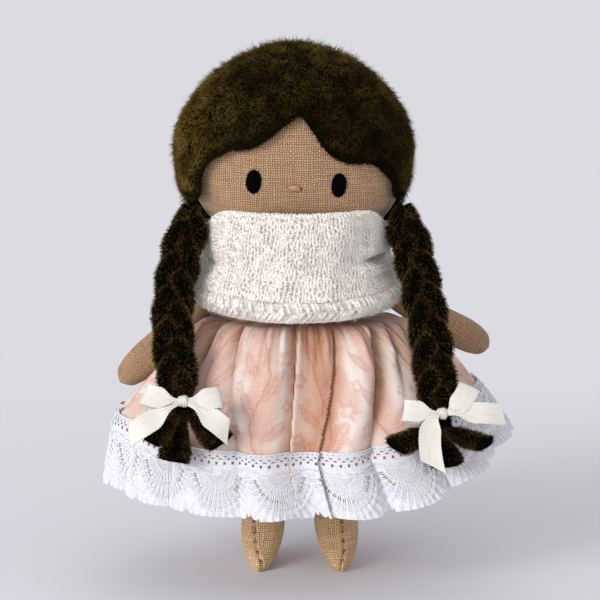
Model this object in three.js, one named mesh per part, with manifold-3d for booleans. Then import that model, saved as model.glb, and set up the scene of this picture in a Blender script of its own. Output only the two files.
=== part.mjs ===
// A small rag doll: linen head, body, arms and legs, a felted wool hair cap with two plaits tied with
// ribbon bows, a knitted cowl, and a gathered skirt trimmed with lace.
// Millimetres, +Z up, the doll faces -Y. The origin is at the bottom centre of the whole doll.
import * as THREE from "three";
import { mergeVertices } from "three/addons/utils/BufferGeometryUtils.js";
import Module from "manifold-3d";

const wasm = await Module();
wasm.setup();

// Clearances shared by all pieces
const seamGap = 0.3;
const hingeGap = 0.15;
const cutOverrun = 8;

// Head: a stuffed form, flatter from front to back
const headHalfWidth = 31.3;
const headHalfDepth = 22.7;
const headHalfHeight = 28.4;
const headCentreHeight = 121;
const headCrownPower = 1.9;
const headChinPower = 2.2;
const headPlanPower = 2.3;

// Eyes and nose: embroidery raised on the face
const eyeHalfWidth = 2.25;
const eyeHalfHeight = 3.45;
const eyeSpacing = 23.8;
const eyeDrop = 6.3;
const eyeTiltHeight = 0.5;
const stitchRise = 0.95;
const noseHalfWidth = 2.3;
const noseHalfHeight = 0.75;
const noseDrop = 7.8;
const noseOffset = -0.9;

// Torso: pear shaped, closed by a flat seam between the legs, and reaching up into the head
const torsoHalfWidth = 19.8;
const torsoHalfDepth = 12.6;
const neckReach = 3.85;

// Legs: sewn flat into the seam under the torso
const hipHeight = 40;
const legHalfWidth = 6.7;
const legHalfDepth = 6.4;
const legSpacing = 21.4;
const legOffset = 0.8;
const footReach = 5.2;
const toeOutDegrees = 6;
const limbPlanPower = 2;

// Arms: sewn flat at the shoulders
const shoulderHeight = 82.8;
const shoulderGap = 0.8;
const armLength = 45;
const armHalfWidth = 4.9;
const armLeft = { side: -1, dropDegrees: 43.5, leanDegrees: 14 };
const armRight = { side: 1, dropDegrees: 29, leanDegrees: 22 };

// Hair cap: a thick felted wool shell in a front and a back half
const hairHalfWidth = 34.6;
const hairOffset = -1;
const hairHalfDepth = 26;
const hairCrownHeight = 30.2;
const hairSkirtHeight = 42;
const hairRise = 1.6;
const hairCrownPower = 1.8;
const hairSkirtPower = 2;
const hairNapeDrop = 20;
const hairSeamDepth = 2;

// Plaits: three strands each, plaited over the braid's length and splayed below the tie
const strandRadius = 1.6;
const plaitHalfWidth = 3.9;
const plaitHalfDepth = 2.9;
const plaitTurnLength = 30;
const rootDepth = 8.5;
const tieDepth = 36;
const plaitSag = 3;
const rootFullnessShare = 0.42;
const drawInShare = 0.15;
const tailHalfWidth = 3.5;
const tailHalfDepth = 1.7;
const tailForward = 5;
const braidLeft = {
  side: -1, rootOut: 28.1, rootDrop: 15.3, tieOut: 31.2, tieHeight: 52.4, bulge: 5, tailLength: 13,
};
const braidRight = {
  side: 1, rootOut: 28.3, rootDrop: 15, tieOut: 39.2, tieHeight: 48.4, bulge: 2.6, tailLength: 13,
};

// Bows: satin ribbon in two loops and two tails, held by a wrapped knot
const ribbonWidth = 5.8;
const ribbonThickness = 0.5;
const bowCoreRadius = 1.2;
const knotWidth = 2.8;
const knotThickness = 0.6;
const knotGap = 0.6;
const bowTiltDegrees = 28;
const tieFullnessShare = 0.4;
const tieBandHeight = 2.6;
const tieBandThickness = 0.8;
const tieBandGap = 1.4;
const loopDepth = 3.4;
const loopOutPower = 0.8;
const loopRisePower = 2.2;
const tailCurl = 1.5;
const spreadStartShare = 0.25;
const spreadShare = 0.42;
const knotRimShare = 0.7;
const tailLeaveReach = 5.4;
const bowReach = 16;

// Cowl: a knitted tube with a thicker folded hem, arched over each arm
const cowlHalfWidth = 29.5;
const cowlHalfDepth = 26;
const cowlThickness = 1.6;
const cowlTopFront = 105.6;
const cowlTopSide = 97.9;
const cowlBottomFront = 76.2;
const cowlBottomSide = 78.4;
const cowlArch = 10.5;
const cowlArchDegrees = 19;
const cowlRiseShares = [0.05, 0.85];
const cowlPlanPower = 2.1;
const cowlHemHeight = 5.4;
const cowlHemThickness = 2.6;
const cowlHemGap = 1.05;

// Skirt: gathered into a waistband just under the arms
const waistHeight = 73.4;
const waistClearance = 0.5;
const waistbandHeight = 2.4;
const waistbandThickness = 1;
const skirtThickness = 1;
const hemHeight = 39.5;
const hemHalfWidth = 50.4;
const hemHalfDepth = 31;
const hemCentreDepth = -6;
const hemLiftRight = 16.5;
const hemLiftLeft = 6.9;
const skirtPuff = 1.6;
const shoulderReach = 7.5;
const shoulderFall = 0.8;
const shoulderShare = 3 / 4;
const armRoomDegrees = 30;
const foldCount = 19;
const foldDepth = 2.1;
const gatherDepth = 0.7;
const gatherShare = 1 / 8;

// Lace: one scallop to a fan, sewn over the hem
const laceThickness = 0.8;
const laceOverlap = 1.4;
const laceGap = 0.6;
const laceHeightAtFront = 24.3;
const laceHalfWidth = 58.1;
const laceHalfDepth = 35.5;
const laceCentreAcross = 3.2;
const laceCentreDepth = -8.5;
const laceLiftRight = 19;
const laceLiftLeft = 3.7;
const scallopDrop = 1.9;
const scallopPhaseDegrees = 6;
const laceFreeShare = 2 / 3;

// Heights that follow the head and the hips
const eyeHeight = headCentreHeight - eyeDrop;
const noseHeight = headCentreHeight - noseDrop;
const hairWidestHeight = headCentreHeight + hairRise;
const hairNapeHeight = headCentreHeight - hairNapeDrop;
const torsoBottomHeight = hipHeight + 3 * hingeGap;
const torsoHeight = headCentreHeight - headHalfHeight + neckReach - torsoBottomHeight;

// Facet counts
const headSides = 32;
const headRows = 16;
const limbSides = 20;
const torsoSides = 28;
const strandSides = 7;
const plaitSteps = 26;
const tailSteps = 5;
const skirtColumns = 76;
const skirtRows = 8;
const laceRows = 3;
const cowlColumns = 48;
const cowlRows = 7;
const cowlHemRows = 3;
const hairlineSteps = 19;
const stitchSides = 16;
const stitchRows = 12;
const loopSteps = 12;
const ribbonTailSteps = 8;
const knotSides = 16;
const tieBandSides = 16;

// Half width and half depth of the torso up its height, from the seam to the neck
const torsoShares = [
  [0, 0.91, 0.1],
  [0.025, 0.955, 0.33],
  [0.08, 0.99, 0.64],
  [0.17, 1, 0.88],
  [0.31, 0.98, 0.99],
  [0.49, 0.96, 1],
  [0.64, 0.98, 0.91],
  [0.75, 0.97, 0.8],
  [0.83, 0.95, 0.7],
  [0.9, 0.72, 0.6],
  [0.95, 0.48, 0.56],
  [1, 0.45, 0.56],
];

// Half width and half depth of a leg down from the hip, and how far the foot stands forward
const legShares = [
  [0, 0.9, 0.1, 0],
  [0.05, 0.94, 0.4, 0],
  [0.14, 0.98, 0.76, 0],
  [0.28, 1, 0.98, 0],
  [0.5, 0.99, 1, 0],
  [0.68, 0.97, 1, 0.08],
  [0.79, 0.92, 1.2, 0.45],
  [0.87, 0.8, 1.34, 0.8],
  [0.935, 0.64, 1.4, 1],
  [0.98, 0.5, 1.34, 1],
  [1, 0.42, 1.25, 1],
];

// Half thickness and half width of an arm from the shoulder seam to the hand
const armShares = [
  [0, 0.1, 0.66],
  [0.06, 0.38, 0.72],
  [0.14, 0.55, 0.77],
  [0.27, 0.72, 0.82],
  [0.45, 0.88, 0.9],
  [0.64, 0.99, 0.97],
  [0.79, 1, 0.97],
  [0.89, 0.86, 0.84],
  [0.96, 0.56, 0.56],
];

// The hairline from one temple over the parting to the other, in half widths and crown heights
const hairlineLeftShares = [
  [-0.775, -0.42],
  [-0.776, -0.28],
  [-0.72, -0.11],
  [-0.54, 0.025],
  [-0.35, 0.055],
  [-0.16, 0.2],
  [0.026, 0.364],
];
const hairlineRightShares = [
  [0.026, 0.364],
  [0.13, 0.2],
  [0.26, 0],
  [0.43, -0.095],
  [0.6, -0.1],
  [0.735, -0.24],
  [0.775, -0.33],
  [0.775, -0.42],
];
const lobeLeftShares = [
  [-1.2, -0.44],
  [-0.93, -0.46],
  [-0.84, -0.46],
];
const lobeRightShares = [
  [0.82, -0.46],
  [0.9, -0.46],
  [1.2, -0.44],
];

// Half width and half depth of the cowl up its height
const cowlShares = [
  [0, 0.98, 1],
  [0.16, 0.99, 1],
  [0.3, 0.96, 0.97],
  [0.42, 0.9, 0.95],
  [0.52, 0.87, 0.94],
  [0.62, 0.87, 0.95],
  [0.75, 0.88, 0.95],
  [0.88, 0.88, 0.94],
  [1, 0.86, 0.91],
];

// Where the tails end below the tie: across and down in tail lengths
const tailShares = {
  left: [[-0.22, -1.02], [0.62, -0.6], [-0.72, -0.52]],
  right: [[0.16, -0.7], [0.84, -0.22], [-0.82, -0.32]],
};

// The loops (out, up) and the tails (out, down) of each bow in bow reaches, first the one on the left
const bowShares = {
  left: { loops: [[0.66, 0.08], [0.63, 0.05]], tails: [[0.86, 0.6], [0.8, 0.68]] },
  right: { loops: [[0.66, 0.05], [0.48, 0.47]], tails: [[0.17, 0.93], [1.05, 0.02]] },
};

const materials = {
  linen: { color: 0xb0906f, roughness: 0.95 },
  wool: { color: 0x26200d, roughness: 1 },
  thread: { color: 0x17140f, roughness: 0.75 },
  noseThread: { color: 0xa86e3c, roughness: 0.8 },
  knit: { color: 0xe5ded6, roughness: 1 },
  cotton: { color: 0xe6bfae, roughness: 0.9 },
  lace: { color: 0xe9e7ea, roughness: 0.9 },
  satin: { color: 0xf0ede4, roughness: 0.4 },
};

function degrees(angle) {
  return THREE.MathUtils.degToRad(angle);
}

function mix(from, to, share) {
  return from + (to - from) * share;
}

function smooth(share) {
  const held = Math.min(1, Math.max(0, share));
  return held * held * (3 - 2 * held);
}

// Reads a table of shares at a place between its rows. Column 0 is the place.
function readTable(rows, place) {
  let high = 1;
  while (high < rows.length - 1 && rows[high][0] < place) high += 1;
  const low = rows[high - 1];
  const top = rows[high];
  const share = Math.min(1, Math.max(0, (place - low[0]) / (top[0] - low[0])));
  return low.map((value, column) => mix(value, top[column], share));
}

// A point round a rounded outline. A turn of 0 is at the front (-Y), a quarter turn is at +X.
function roundPoint(turn, halfWidth, halfDepth, power) {
  const across = Math.sin(turn);
  const along = Math.cos(turn);
  const reach = 2 / power;
  return [
    halfWidth * Math.sign(across) * Math.abs(across) ** reach,
    -halfDepth * Math.sign(along) * Math.abs(along) ** reach,
  ];
}

function turns(count) {
  return Array.from({ length: count }, (_, step) => (2 * Math.PI * step) / count);
}

function meshFrom(points, triangles) {
  const geometry = new THREE.BufferGeometry();
  const places = points.flatMap((point) => point.toArray());
  geometry.setAttribute("position", new THREE.Float32BufferAttribute(places, 3));
  geometry.setIndex(triangles);
  geometry.computeVertexNormals();
  return geometry;
}

// Joins rings of points into one closed skin. A ring of one point is a pole, and an open end is capped flat.
function loft(rings) {
  const points = [];
  const starts = [];
  const triangles = [];
  for (const ring of rings) {
    starts.push(points.length);
    points.push(...ring);
  }
  function join(low, high) {
    const lowRing = rings[low];
    const highRing = rings[high];
    const sides = Math.max(lowRing.length, highRing.length);
    for (let side = 0; side < sides; side += 1) {
      const next = (side + 1) % sides;
      const a = starts[low] + (lowRing.length > 1 ? side : 0);
      const b = starts[low] + (lowRing.length > 1 ? next : 0);
      const c = starts[high] + (highRing.length > 1 ? next : 0);
      const d = starts[high] + (highRing.length > 1 ? side : 0);
      if (lowRing.length > 1) triangles.push(a, b, d);
      if (highRing.length > 1) triangles.push(lowRing.length > 1 ? b : a, c, d);
    }
  }
  for (let row = 0; row < rings.length - 1; row += 1) join(row, row + 1);
  function cap(row, facingUp) {
    const ring = rings[row];
    if (ring.length === 1) return;
    const centre = ring.reduce((sum, p) => sum.add(p), new THREE.Vector3()).divideScalar(ring.length);
    points.push(centre);
    const middle = points.length - 1;
    for (let side = 0; side < ring.length; side += 1) {
      const a = starts[row] + side;
      const b = starts[row] + ((side + 1) % ring.length);
      triangles.push(...(facingUp ? [a, b, middle] : [b, a, middle]));
    }
  }
  cap(0, false);
  cap(rings.length - 1, true);
  return meshFrom(points, triangles);
}

// A point that lies a distance outside a surface
function offsetPoint(surface, turn, up, distance) {
  const step = 1 / 1000;
  const across = surface(turn + step, up).sub(surface(turn - step, up));
  const rise = surface(turn, up + step).sub(surface(turn, up - step));
  return surface(turn, up).addScaledVector(across.cross(rise).normalize(), distance);
}

// A closed shell of even thickness about a surface that goes once round and from row 0 up to the last row.
function wrap(surface, columns, rows, thickness) {
  const outer = [];
  const inner = [];
  for (let row = 0; row <= rows; row += 1) {
    for (const turn of turns(columns)) {
      outer.push(offsetPoint(surface, turn, row / rows, thickness / 2));
      inner.push(offsetPoint(surface, turn, row / rows, -thickness / 2));
    }
  }
  const shift = outer.length;
  const triangles = [];
  const quad = (a, b, c, d) => triangles.push(a, b, c, a, c, d);
  for (let column = 0; column < columns; column += 1) {
    const next = (column + 1) % columns;
    for (let row = 0; row < rows; row += 1) {
      const low = row * columns;
      const high = low + columns;
      quad(low + column, low + next, high + next, high + column);
      quad(shift + low + next, shift + low + column, shift + high + column, shift + high + next);
    }
    const last = rows * columns;
    quad(shift + column, shift + next, next, column);
    quad(last + column, last + next, shift + last + next, shift + last + column);
  }
  return meshFrom([...outer, ...inner], triangles);
}

function solidOf(geometry) {
  const bare = geometry.clone();
  bare.deleteAttribute("normal");
  bare.deleteAttribute("uv");
  const merged = mergeVertices(bare);
  return new wasm.Manifold(
    new wasm.Mesh({
      numProp: 3,
      vertProperties: merged.attributes.position.array,
      triVerts: new Uint32Array(merged.index.array),
    }),
  );
}

function geometryOf(solid) {
  const mesh = solid.getMesh();
  const points = [];
  for (let vertex = 0; vertex < mesh.numVert; vertex += 1) {
    points.push(new THREE.Vector3().fromArray(mesh.vertProperties, vertex * mesh.numProp));
  }
  return meshFrom(points, Array.from(mesh.triVerts));
}

function cut(geometry, ...cutters) {
  return geometryOf(cutters.reduce((solid, cutter) => solid.subtract(solidOf(cutter)), solidOf(geometry)));
}

function fuse(...geometries) {
  return geometryOf(geometries.map(solidOf).reduce((whole, solid) => whole.add(solid)));
}

function largest(geometry) {
  const bodies = solidOf(geometry).decompose();
  return geometryOf(bodies.sort((a, b) => b.volume() - a.volume())[0]);
}

// An egg with its own height and power above and below its widest ring
function egg({ halfWidth, halfDepth, above, below, centre, powerAbove, powerBelow, planPower }) {
  const rings = [];
  for (let row = 0; row <= headRows; row += 1) {
    const lift = Math.PI * (row / headRows - 1 / 2);
    const upper = lift > 0;
    const reach = 2 / (upper ? powerAbove : powerBelow);
    const height = (upper ? above : below) * Math.sign(lift) * Math.abs(Math.sin(lift)) ** reach;
    const width = Math.max(0, Math.cos(lift)) ** reach;
    if (row === 0 || row === headRows) {
      rings.push([new THREE.Vector3(0, 0, centre + height)]);
      continue;
    }
    rings.push(
      turns(headSides).map((turn) => {
        const [x, y] = roundPoint(turn, halfWidth * width, halfDepth * width, planPower);
        return new THREE.Vector3(x, y, centre + height);
      }),
    );
  }
  return loft(rings);
}

function headForm(grow) {
  return egg({
    halfWidth: headHalfWidth + grow,
    halfDepth: headHalfDepth + grow,
    above: headHalfHeight + grow,
    below: headHalfHeight + grow,
    centre: headCentreHeight,
    powerAbove: headCrownPower,
    powerBelow: headChinPower,
    planPower: headPlanPower,
  });
}

// Where the face lies at a place across and up
function faceDepth(across, height) {
  const rise = Math.abs(height - headCentreHeight) / headHalfHeight;
  const power = height > headCentreHeight ? headCrownPower : headChinPower;
  const width = (1 - rise ** power) ** (1 / power);
  const share = Math.abs(across) / (headHalfWidth * width);
  return -headHalfDepth * width * (1 - share ** headPlanPower) ** (1 / headPlanPower);
}

// Raised stitching: a lens on the face, cut to follow it
function stitchedMark(across, height, halfWidth, halfHeight) {
  const lens = new THREE.SphereGeometry(1, stitchSides, stitchRows);
  lens.scale(halfWidth, stitchRise, halfHeight);
  lens.translate(across, faceDepth(across, height), height);
  return largest(cut(lens, headForm(seamGap)));
}

function torsoForm() {
  const rings = torsoShares.map(([up, width, depth]) =>
    turns(torsoSides).map((turn) => {
      const [x, y] = roundPoint(turn, torsoHalfWidth * width, torsoHalfDepth * depth, headPlanPower);
      return new THREE.Vector3(x, y, torsoBottomHeight + torsoHeight * up);
    }),
  );
  return largest(cut(loft(rings), headForm(seamGap)));
}

// A leg hangs from the origin. Its sole is flat.
function legForm() {
  const length = hipHeight - hingeGap;
  const rings = legShares.map(([down, width, depth, forward]) =>
    turns(limbSides).map((turn) => {
      const [x, y] = roundPoint(turn, legHalfWidth * width, legHalfDepth * depth, limbPlanPower);
      return new THREE.Vector3(x, y - footReach * forward, -hingeGap - length * down);
    }),
  );
  return loft(rings.reverse());
}

// An arm hangs from the origin, thin where it is sewn and round at the hand.
function armForm() {
  const rings = armShares.map(([down, thickness, width]) =>
    turns(limbSides).map((turn) => {
      const [x, y] = roundPoint(turn, armHalfWidth * thickness, armHalfWidth * width, limbPlanPower);
      return new THREE.Vector3(x, y, -hingeGap - armLength * down);
    }),
  );
  rings.push([new THREE.Vector3(0, 0, -armLength)]);
  return loft(rings.reverse());
}

function hairForm() {
  const form = egg({
    halfWidth: hairHalfWidth,
    halfDepth: hairHalfDepth,
    above: hairCrownHeight,
    below: hairSkirtHeight,
    centre: hairWidestHeight,
    powerAbove: hairCrownPower,
    powerBelow: hairSkirtPower,
    planPower: headPlanPower,
  });
  return form.translate(hairOffset, 0, 0);
}

function hairPoints(shares) {
  return shares.map(([x, z]) => new THREE.Vector2(x * hairHalfWidth, hairWidestHeight + z * hairCrownHeight));
}

// A prism that runs along Y between two depths, from an outline of points in X and Z
function prism(outline, front, back) {
  const shape = new THREE.Shape(outline.map((p) => new THREE.Vector2(p.x, p.y)));
  const geometry = new THREE.ExtrudeGeometry(shape, { depth: back - front, bevelEnabled: false });
  geometry.rotateX(Math.PI / 2);
  geometry.translate(0, back, 0);
  return geometry;
}

function block(low, high) {
  const size = high.clone().sub(low);
  const geometry = new THREE.BoxGeometry(size.x, size.y, size.z);
  return geometry.translate(...low.clone().add(high).divideScalar(2).toArray());
}

function hairFront() {
  const reach = hairHalfWidth + cutOverrun;
  const floor = hairWidestHeight - hairSkirtHeight - cutOverrun;
  const left = new THREE.SplineCurve(hairPoints(hairlineLeftShares)).getPoints(hairlineSteps);
  const right = new THREE.SplineCurve(hairPoints(hairlineRightShares)).getPoints(hairlineSteps);
  const outline = [
    new THREE.Vector2(-reach, floor),
    ...hairPoints(lobeLeftShares),
    ...left,
    ...right.slice(1),
    ...hairPoints(lobeRightShares),
    new THREE.Vector2(reach, floor),
  ];
  const window = prism(outline.reverse(), -hairHalfDepth - cutOverrun, hairSeamDepth + cutOverrun);
  const rear = block(
    new THREE.Vector3(-reach, hairSeamDepth - seamGap / 2, floor),
    new THREE.Vector3(reach, hairHalfDepth + cutOverrun, hairWidestHeight + hairCrownHeight + cutOverrun),
  );
  return largest(cut(hairForm(), headForm(seamGap), window, rear));
}

function hairBack() {
  const reach = hairHalfWidth + cutOverrun;
  const floor = hairWidestHeight - hairSkirtHeight - cutOverrun;
  const front = block(
    new THREE.Vector3(-reach, -hairHalfDepth - cutOverrun, floor),
    new THREE.Vector3(reach, hairSeamDepth + seamGap / 2, hairWidestHeight + hairCrownHeight + cutOverrun),
  );
  const nape = block(
    new THREE.Vector3(-reach, -hairHalfDepth, floor),
    new THREE.Vector3(reach, hairHalfDepth + cutOverrun, hairNapeHeight),
  );
  return largest(cut(hairForm(), headForm(seamGap), front, nape));
}

// The middle line of a braid from its root (0) to its tie (1)
function braidLine(braid, share) {
  return new THREE.Vector3(
    braid.side * (mix(braid.rootOut, braid.tieOut, share) + braid.bulge * Math.sin(Math.PI * share)),
    -mix(rootDepth, tieDepth, share) + plaitSag * Math.sin(Math.PI * share),
    mix(headCentreHeight - braid.rootDrop, braid.tieHeight, share),
  );
}

function tiePoint(braid) {
  return braidLine(braid, 1);
}

function braidLength(braid) {
  return braidLine(braid, 0).distanceTo(tiePoint(braid));
}

// How full the plait is along its length: drawn in at the root and level under the tie
function plaitFullness(braid, share) {
  const tied = tieBandHeight / braidLength(braid);
  const root = mix(rootFullnessShare, 1, smooth(share / drawInShare));
  const tie = mix(tieFullnessShare, 1, smooth((1 - share - tied) / drawInShare));
  return Math.min(root, tie);
}

function crossFrame(direction) {
  const along = direction.clone().normalize();
  const lateral = new THREE.Vector3(1, 0, 0);
  lateral.addScaledVector(along, -lateral.dot(along)).normalize();
  return { lateral, forward: along.clone().cross(lateral) };
}

// The middle of one strand: side to side once a pitch, and over and under twice
function strandPoint(braid, strand, share) {
  const step = 1 / 100;
  const middle = braidLine(braid, share);
  const ahead = braidLine(braid, share + step).sub(braidLine(braid, share - step));
  const { lateral, forward } = crossFrame(ahead);
  const wound = ((share - 1) * braidLength(braid)) / plaitTurnLength;
  const phase = 2 * Math.PI * (wound + strand / 3);
  const fullness = plaitFullness(braid, share);
  middle.addScaledVector(lateral, plaitHalfWidth * fullness * Math.sin(phase));
  return middle.addScaledVector(forward, plaitHalfDepth * fullness * Math.sin(2 * phase));
}

function sectionRing(middle, direction, halfWidth, halfDepth) {
  const { lateral, forward } = crossFrame(direction);
  return turns(strandSides).map((turn) =>
    middle
      .clone()
      .addScaledVector(lateral, halfWidth * Math.cos(turn))
      .addScaledVector(forward, halfDepth * Math.sin(turn)),
  );
}

function strandForm(braid, strand, tail) {
  const step = 1 / 250;
  const rings = [];
  for (let row = 0; row <= plaitSteps; row += 1) {
    const share = row / plaitSteps;
    const direction = strandPoint(braid, strand, share + step).sub(strandPoint(braid, strand, share - step));
    const radius = strandRadius * plaitFullness(braid, share);
    rings.push(sectionRing(strandPoint(braid, strand, share), direction, radius, radius));
  }
  const start = strandPoint(braid, strand, 1);
  const reach = new THREE.Vector3(tail[0] * braid.tailLength, -tailForward, tail[1] * braid.tailLength);
  const thin = strandRadius * tieFullnessShare;
  for (let row = 1; row <= tailSteps; row += 1) {
    const share = row / tailSteps;
    const middle = start.clone().addScaledVector(reach, share);
    const halfWidth = mix(thin, tailHalfWidth, smooth(share));
    rings.push(sectionRing(middle, reach, halfWidth, mix(thin, tailHalfDepth, share)));
  }
  return loft(rings);
}

// A flat ribbon along a line of places. Each place has a middle, a width direction and a width.
function ribbonForm(places) {
  const rings = places.map(({ middle, widthway, width }, index) => {
    const before = places[Math.max(0, index - 1)].middle;
    const after = places[Math.min(places.length - 1, index + 1)].middle;
    const along = after.clone().sub(before).normalize();
    const across = widthway.clone().addScaledVector(along, -widthway.dot(along)).normalize();
    const through = along.clone().cross(across);
    const corner = (side, face) =>
      middle
        .clone()
        .addScaledVector(across, (side * width) / 2)
        .addScaledVector(through, (face * ribbonThickness) / 2);
    return [corner(-1, -1), corner(1, -1), corner(1, 1), corner(-1, 1)];
  });
  return loft(rings);
}

// The ribbon's width, gathered at the knot and full from a share of the way out
function spreadWidth(share) {
  return mix(bowCoreRadius, ribbonWidth, smooth((share - spreadStartShare) / spreadShare));
}

// A loop leaves the knot sideways in front, turns at its end and comes back behind.
function bowLoop(side, [outShare, riseShare]) {
  const length = bowReach * outShare;
  const rise = bowReach * riseShare;
  const places = [];
  for (let step = 0; step <= loopSteps; step += 1) {
    const turn = (Math.PI * step) / loopSteps;
    const out = Math.max(0, Math.sin(turn)) ** loopOutPower;
    const depth = -(loopDepth / 2) * Math.cos(turn) * Math.sqrt(Math.max(0, Math.sin(turn)));
    const slope = loopRisePower * rise * out ** (loopRisePower - 1);
    places.push({
      middle: new THREE.Vector3(side * length * out, depth, rise * out ** loopRisePower),
      widthway: new THREE.Vector3(-side * slope, 0, length).normalize(),
      width: spreadWidth(out),
    });
  }
  return ribbonForm(places);
}

// A tail leaves the knot sideways and bends down to its end.
function bowTail(side, [outShare, dropShare]) {
  const length = bowReach * outShare;
  const drop = bowReach * dropShare;
  const end = new THREE.Vector3(side * length, 0, -drop);
  const leave = new THREE.Vector3(side * tailLeaveReach, 0, 0);
  const bend = new THREE.Vector3(side * Math.max(length / 2, (tailLeaveReach * 3) / 2), 0, -drop / 3);
  const line = new THREE.CubicBezierCurve3(new THREE.Vector3(), leave, bend, end);
  const places = line.getPoints(ribbonTailSteps).map((middle, step) => {
    const share = step / ribbonTailSteps;
    const direction = line.getTangent(share);
    middle.y -= tailCurl * Math.sin(Math.PI * share);
    return { middle, widthway: new THREE.Vector3(direction.z, 0, -direction.x), width: spreadWidth(share) };
  });
  return ribbonForm(places);
}

function bowForm(bow) {
  return fuse(
    new THREE.SphereGeometry(bowCoreRadius, knotSides, knotSides / 2),
    bowLoop(-1, bow.loops[0]),
    bowLoop(1, bow.loops[1]),
    bowTail(-1, bow.tails[0]),
    bowTail(1, bow.tails[1]),
  );
}

// The knot is a short band wrapped round the bow's middle.
function knotForm() {
  const inner = bowCoreRadius + knotGap;
  const outer = inner + knotThickness;
  const half = knotWidth / 2;
  const profile = [
    new THREE.Vector2(inner, -half),
    new THREE.Vector2(outer, -half * knotRimShare),
    new THREE.Vector2(outer + knotThickness / 4, 0),
    new THREE.Vector2(outer, half * knotRimShare),
    new THREE.Vector2(inner, half),
    new THREE.Vector2(inner, -half),
  ];
  return new THREE.LatheGeometry(profile, knotSides).rotateZ(Math.PI / 2);
}

function knotOuterRadius() {
  return bowCoreRadius + knotGap + (5 / 4) * knotThickness;
}

// The thread band that ties the three strands, square to the braid
function tieBand(braid) {
  const share = 1 - tieBandHeight / braidLength(braid) / 2;
  const middle = braidLine(braid, share);
  const along = tiePoint(braid).sub(middle).normalize();
  const { lateral, forward } = crossFrame(along);
  const reach = strandRadius * tieFullnessShare + tieBandGap + tieBandThickness / 2;
  const surface = (turn, up) =>
    middle
      .clone()
      .addScaledVector(lateral, (plaitHalfWidth * tieFullnessShare + reach) * Math.cos(turn))
      .addScaledVector(forward, (plaitHalfDepth * tieFullnessShare + reach) * Math.sin(turn))
      .addScaledVector(along, tieBandHeight * (up - 1 / 2));
  return wrap(surface, tieBandSides, 1, tieBandThickness);
}

function bowPlace(braid) {
  const share = 1 - tieBandHeight / braidLength(braid) / 2;
  const middle = braidLine(braid, share);
  const { forward } = crossFrame(tiePoint(braid).sub(middle));
  const band = (plaitHalfDepth + strandRadius) * tieFullnessShare + tieBandGap + tieBandThickness;
  return middle.addScaledVector(forward, band + seamGap + knotOuterRadius());
}

// The torso's outline at the waist, grown by a distance
function waistOutline(turn, grow) {
  const up = (waistHeight - hipHeight) / torsoHeight;
  const [, width, depth] = readTable(torsoShares, up);
  return roundPoint(turn, torsoHalfWidth * width + grow, torsoHalfDepth * depth + grow, headPlanPower);
}

function lift(turn, toRight, toLeft) {
  const across = Math.sin(turn);
  return toRight * Math.max(0, across) ** 3 + toLeft * Math.max(0, -across) ** 3;
}

function hemPoint(turn) {
  return new THREE.Vector3(
    hemHalfWidth * Math.sin(turn),
    hemCentreDepth - hemHalfDepth * Math.cos(turn),
    hemHeight + lift(turn, hemLiftRight, hemLiftLeft),
  );
}

function lacePoint(turn) {
  return new THREE.Vector3(
    laceCentreAcross + laceHalfWidth * Math.sin(turn),
    laceCentreDepth - laceHalfDepth * Math.cos(turn),
    laceHeightAtFront + lift(turn, laceLiftRight, laceLiftLeft),
  );
}

function outwardAt(turn) {
  return new THREE.Vector3(Math.sin(turn), -Math.cos(turn), 0);
}

function foldWave(turn) {
  return -Math.cos(foldCount * turn);
}

// The gathers stand out round the waist, and lie low under each arm.
function shoulderRoom(turn) {
  const fromSide = Math.acos(Math.min(1, Math.abs(Math.sin(turn))));
  return 1 - Math.exp(-((fromSide / degrees(armRoomDegrees)) ** 2));
}

// The middle of the skirt's cloth, from the hem (0) up to the waist (1)
function skirtSurface(turn, up) {
  const [x, y] = waistOutline(turn, waistClearance + skirtThickness);
  const waist = new THREE.Vector3(x, y, waistHeight);
  const shoulder = waist.clone().addScaledVector(outwardAt(turn), shoulderReach * shoulderRoom(turn));
  shoulder.z -= shoulderFall;
  const below = THREE.MathUtils.clamp(up / shoulderShare, 0, 1);
  const puff = skirtPuff * shoulderRoom(turn) * Math.sin(Math.PI * below) ** 2;
  const place = hemPoint(turn).lerp(shoulder, Math.min(1, up / shoulderShare));
  place.lerp(waist, Math.max(0, (up - shoulderShare) / (1 - shoulderShare)));
  const wave = mix(foldDepth, gatherDepth, up) * foldWave(turn) * smooth((1 - up) / gatherShare);
  return place.addScaledVector(outwardAt(turn), puff + wave);
}

// The lace from its scalloped edge (0) up to the hem and on over it (1)
function laceSurface(turn, up) {
  const overlapShare = laceOverlap / (waistHeight - hemHeight);
  const away = (skirtThickness + laceThickness) / 2 + laceGap;
  if (up > laceFreeShare) {
    const over = (up - laceFreeShare) / (1 - laceFreeShare);
    return offsetPoint(skirtSurface, turn, overlapShare * over, away);
  }
  const bottom = lacePoint(turn).addScaledVector(outwardAt(turn), foldDepth * foldWave(turn));
  bottom.z -= scallopDrop * Math.cos(foldCount * (turn + degrees(scallopPhaseDegrees)));
  return bottom.lerp(offsetPoint(skirtSurface, turn, -overlapShare / 3, away), up / laceFreeShare);
}

function waistband() {
  const surface = (turn, up) => {
    const [x, y] = waistOutline(turn, waistClearance + waistbandThickness / 2);
    const bottom = waistHeight + seamGap + skirtThickness / 2;
    return new THREE.Vector3(x, y, bottom + waistbandHeight * up);
  };
  return wrap(surface, torsoSides * 2, 1, waistbandThickness);
}

function cowlBottom(turn) {
  const side = Math.sin(turn) ** 2;
  const fromSide = Math.acos(Math.min(1, Math.abs(Math.sin(turn))));
  const arch = cowlArch * Math.exp(-((fromSide / degrees(cowlArchDegrees)) ** 2));
  return mix(cowlBottomFront, cowlBottomSide, side) + arch;
}

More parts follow.
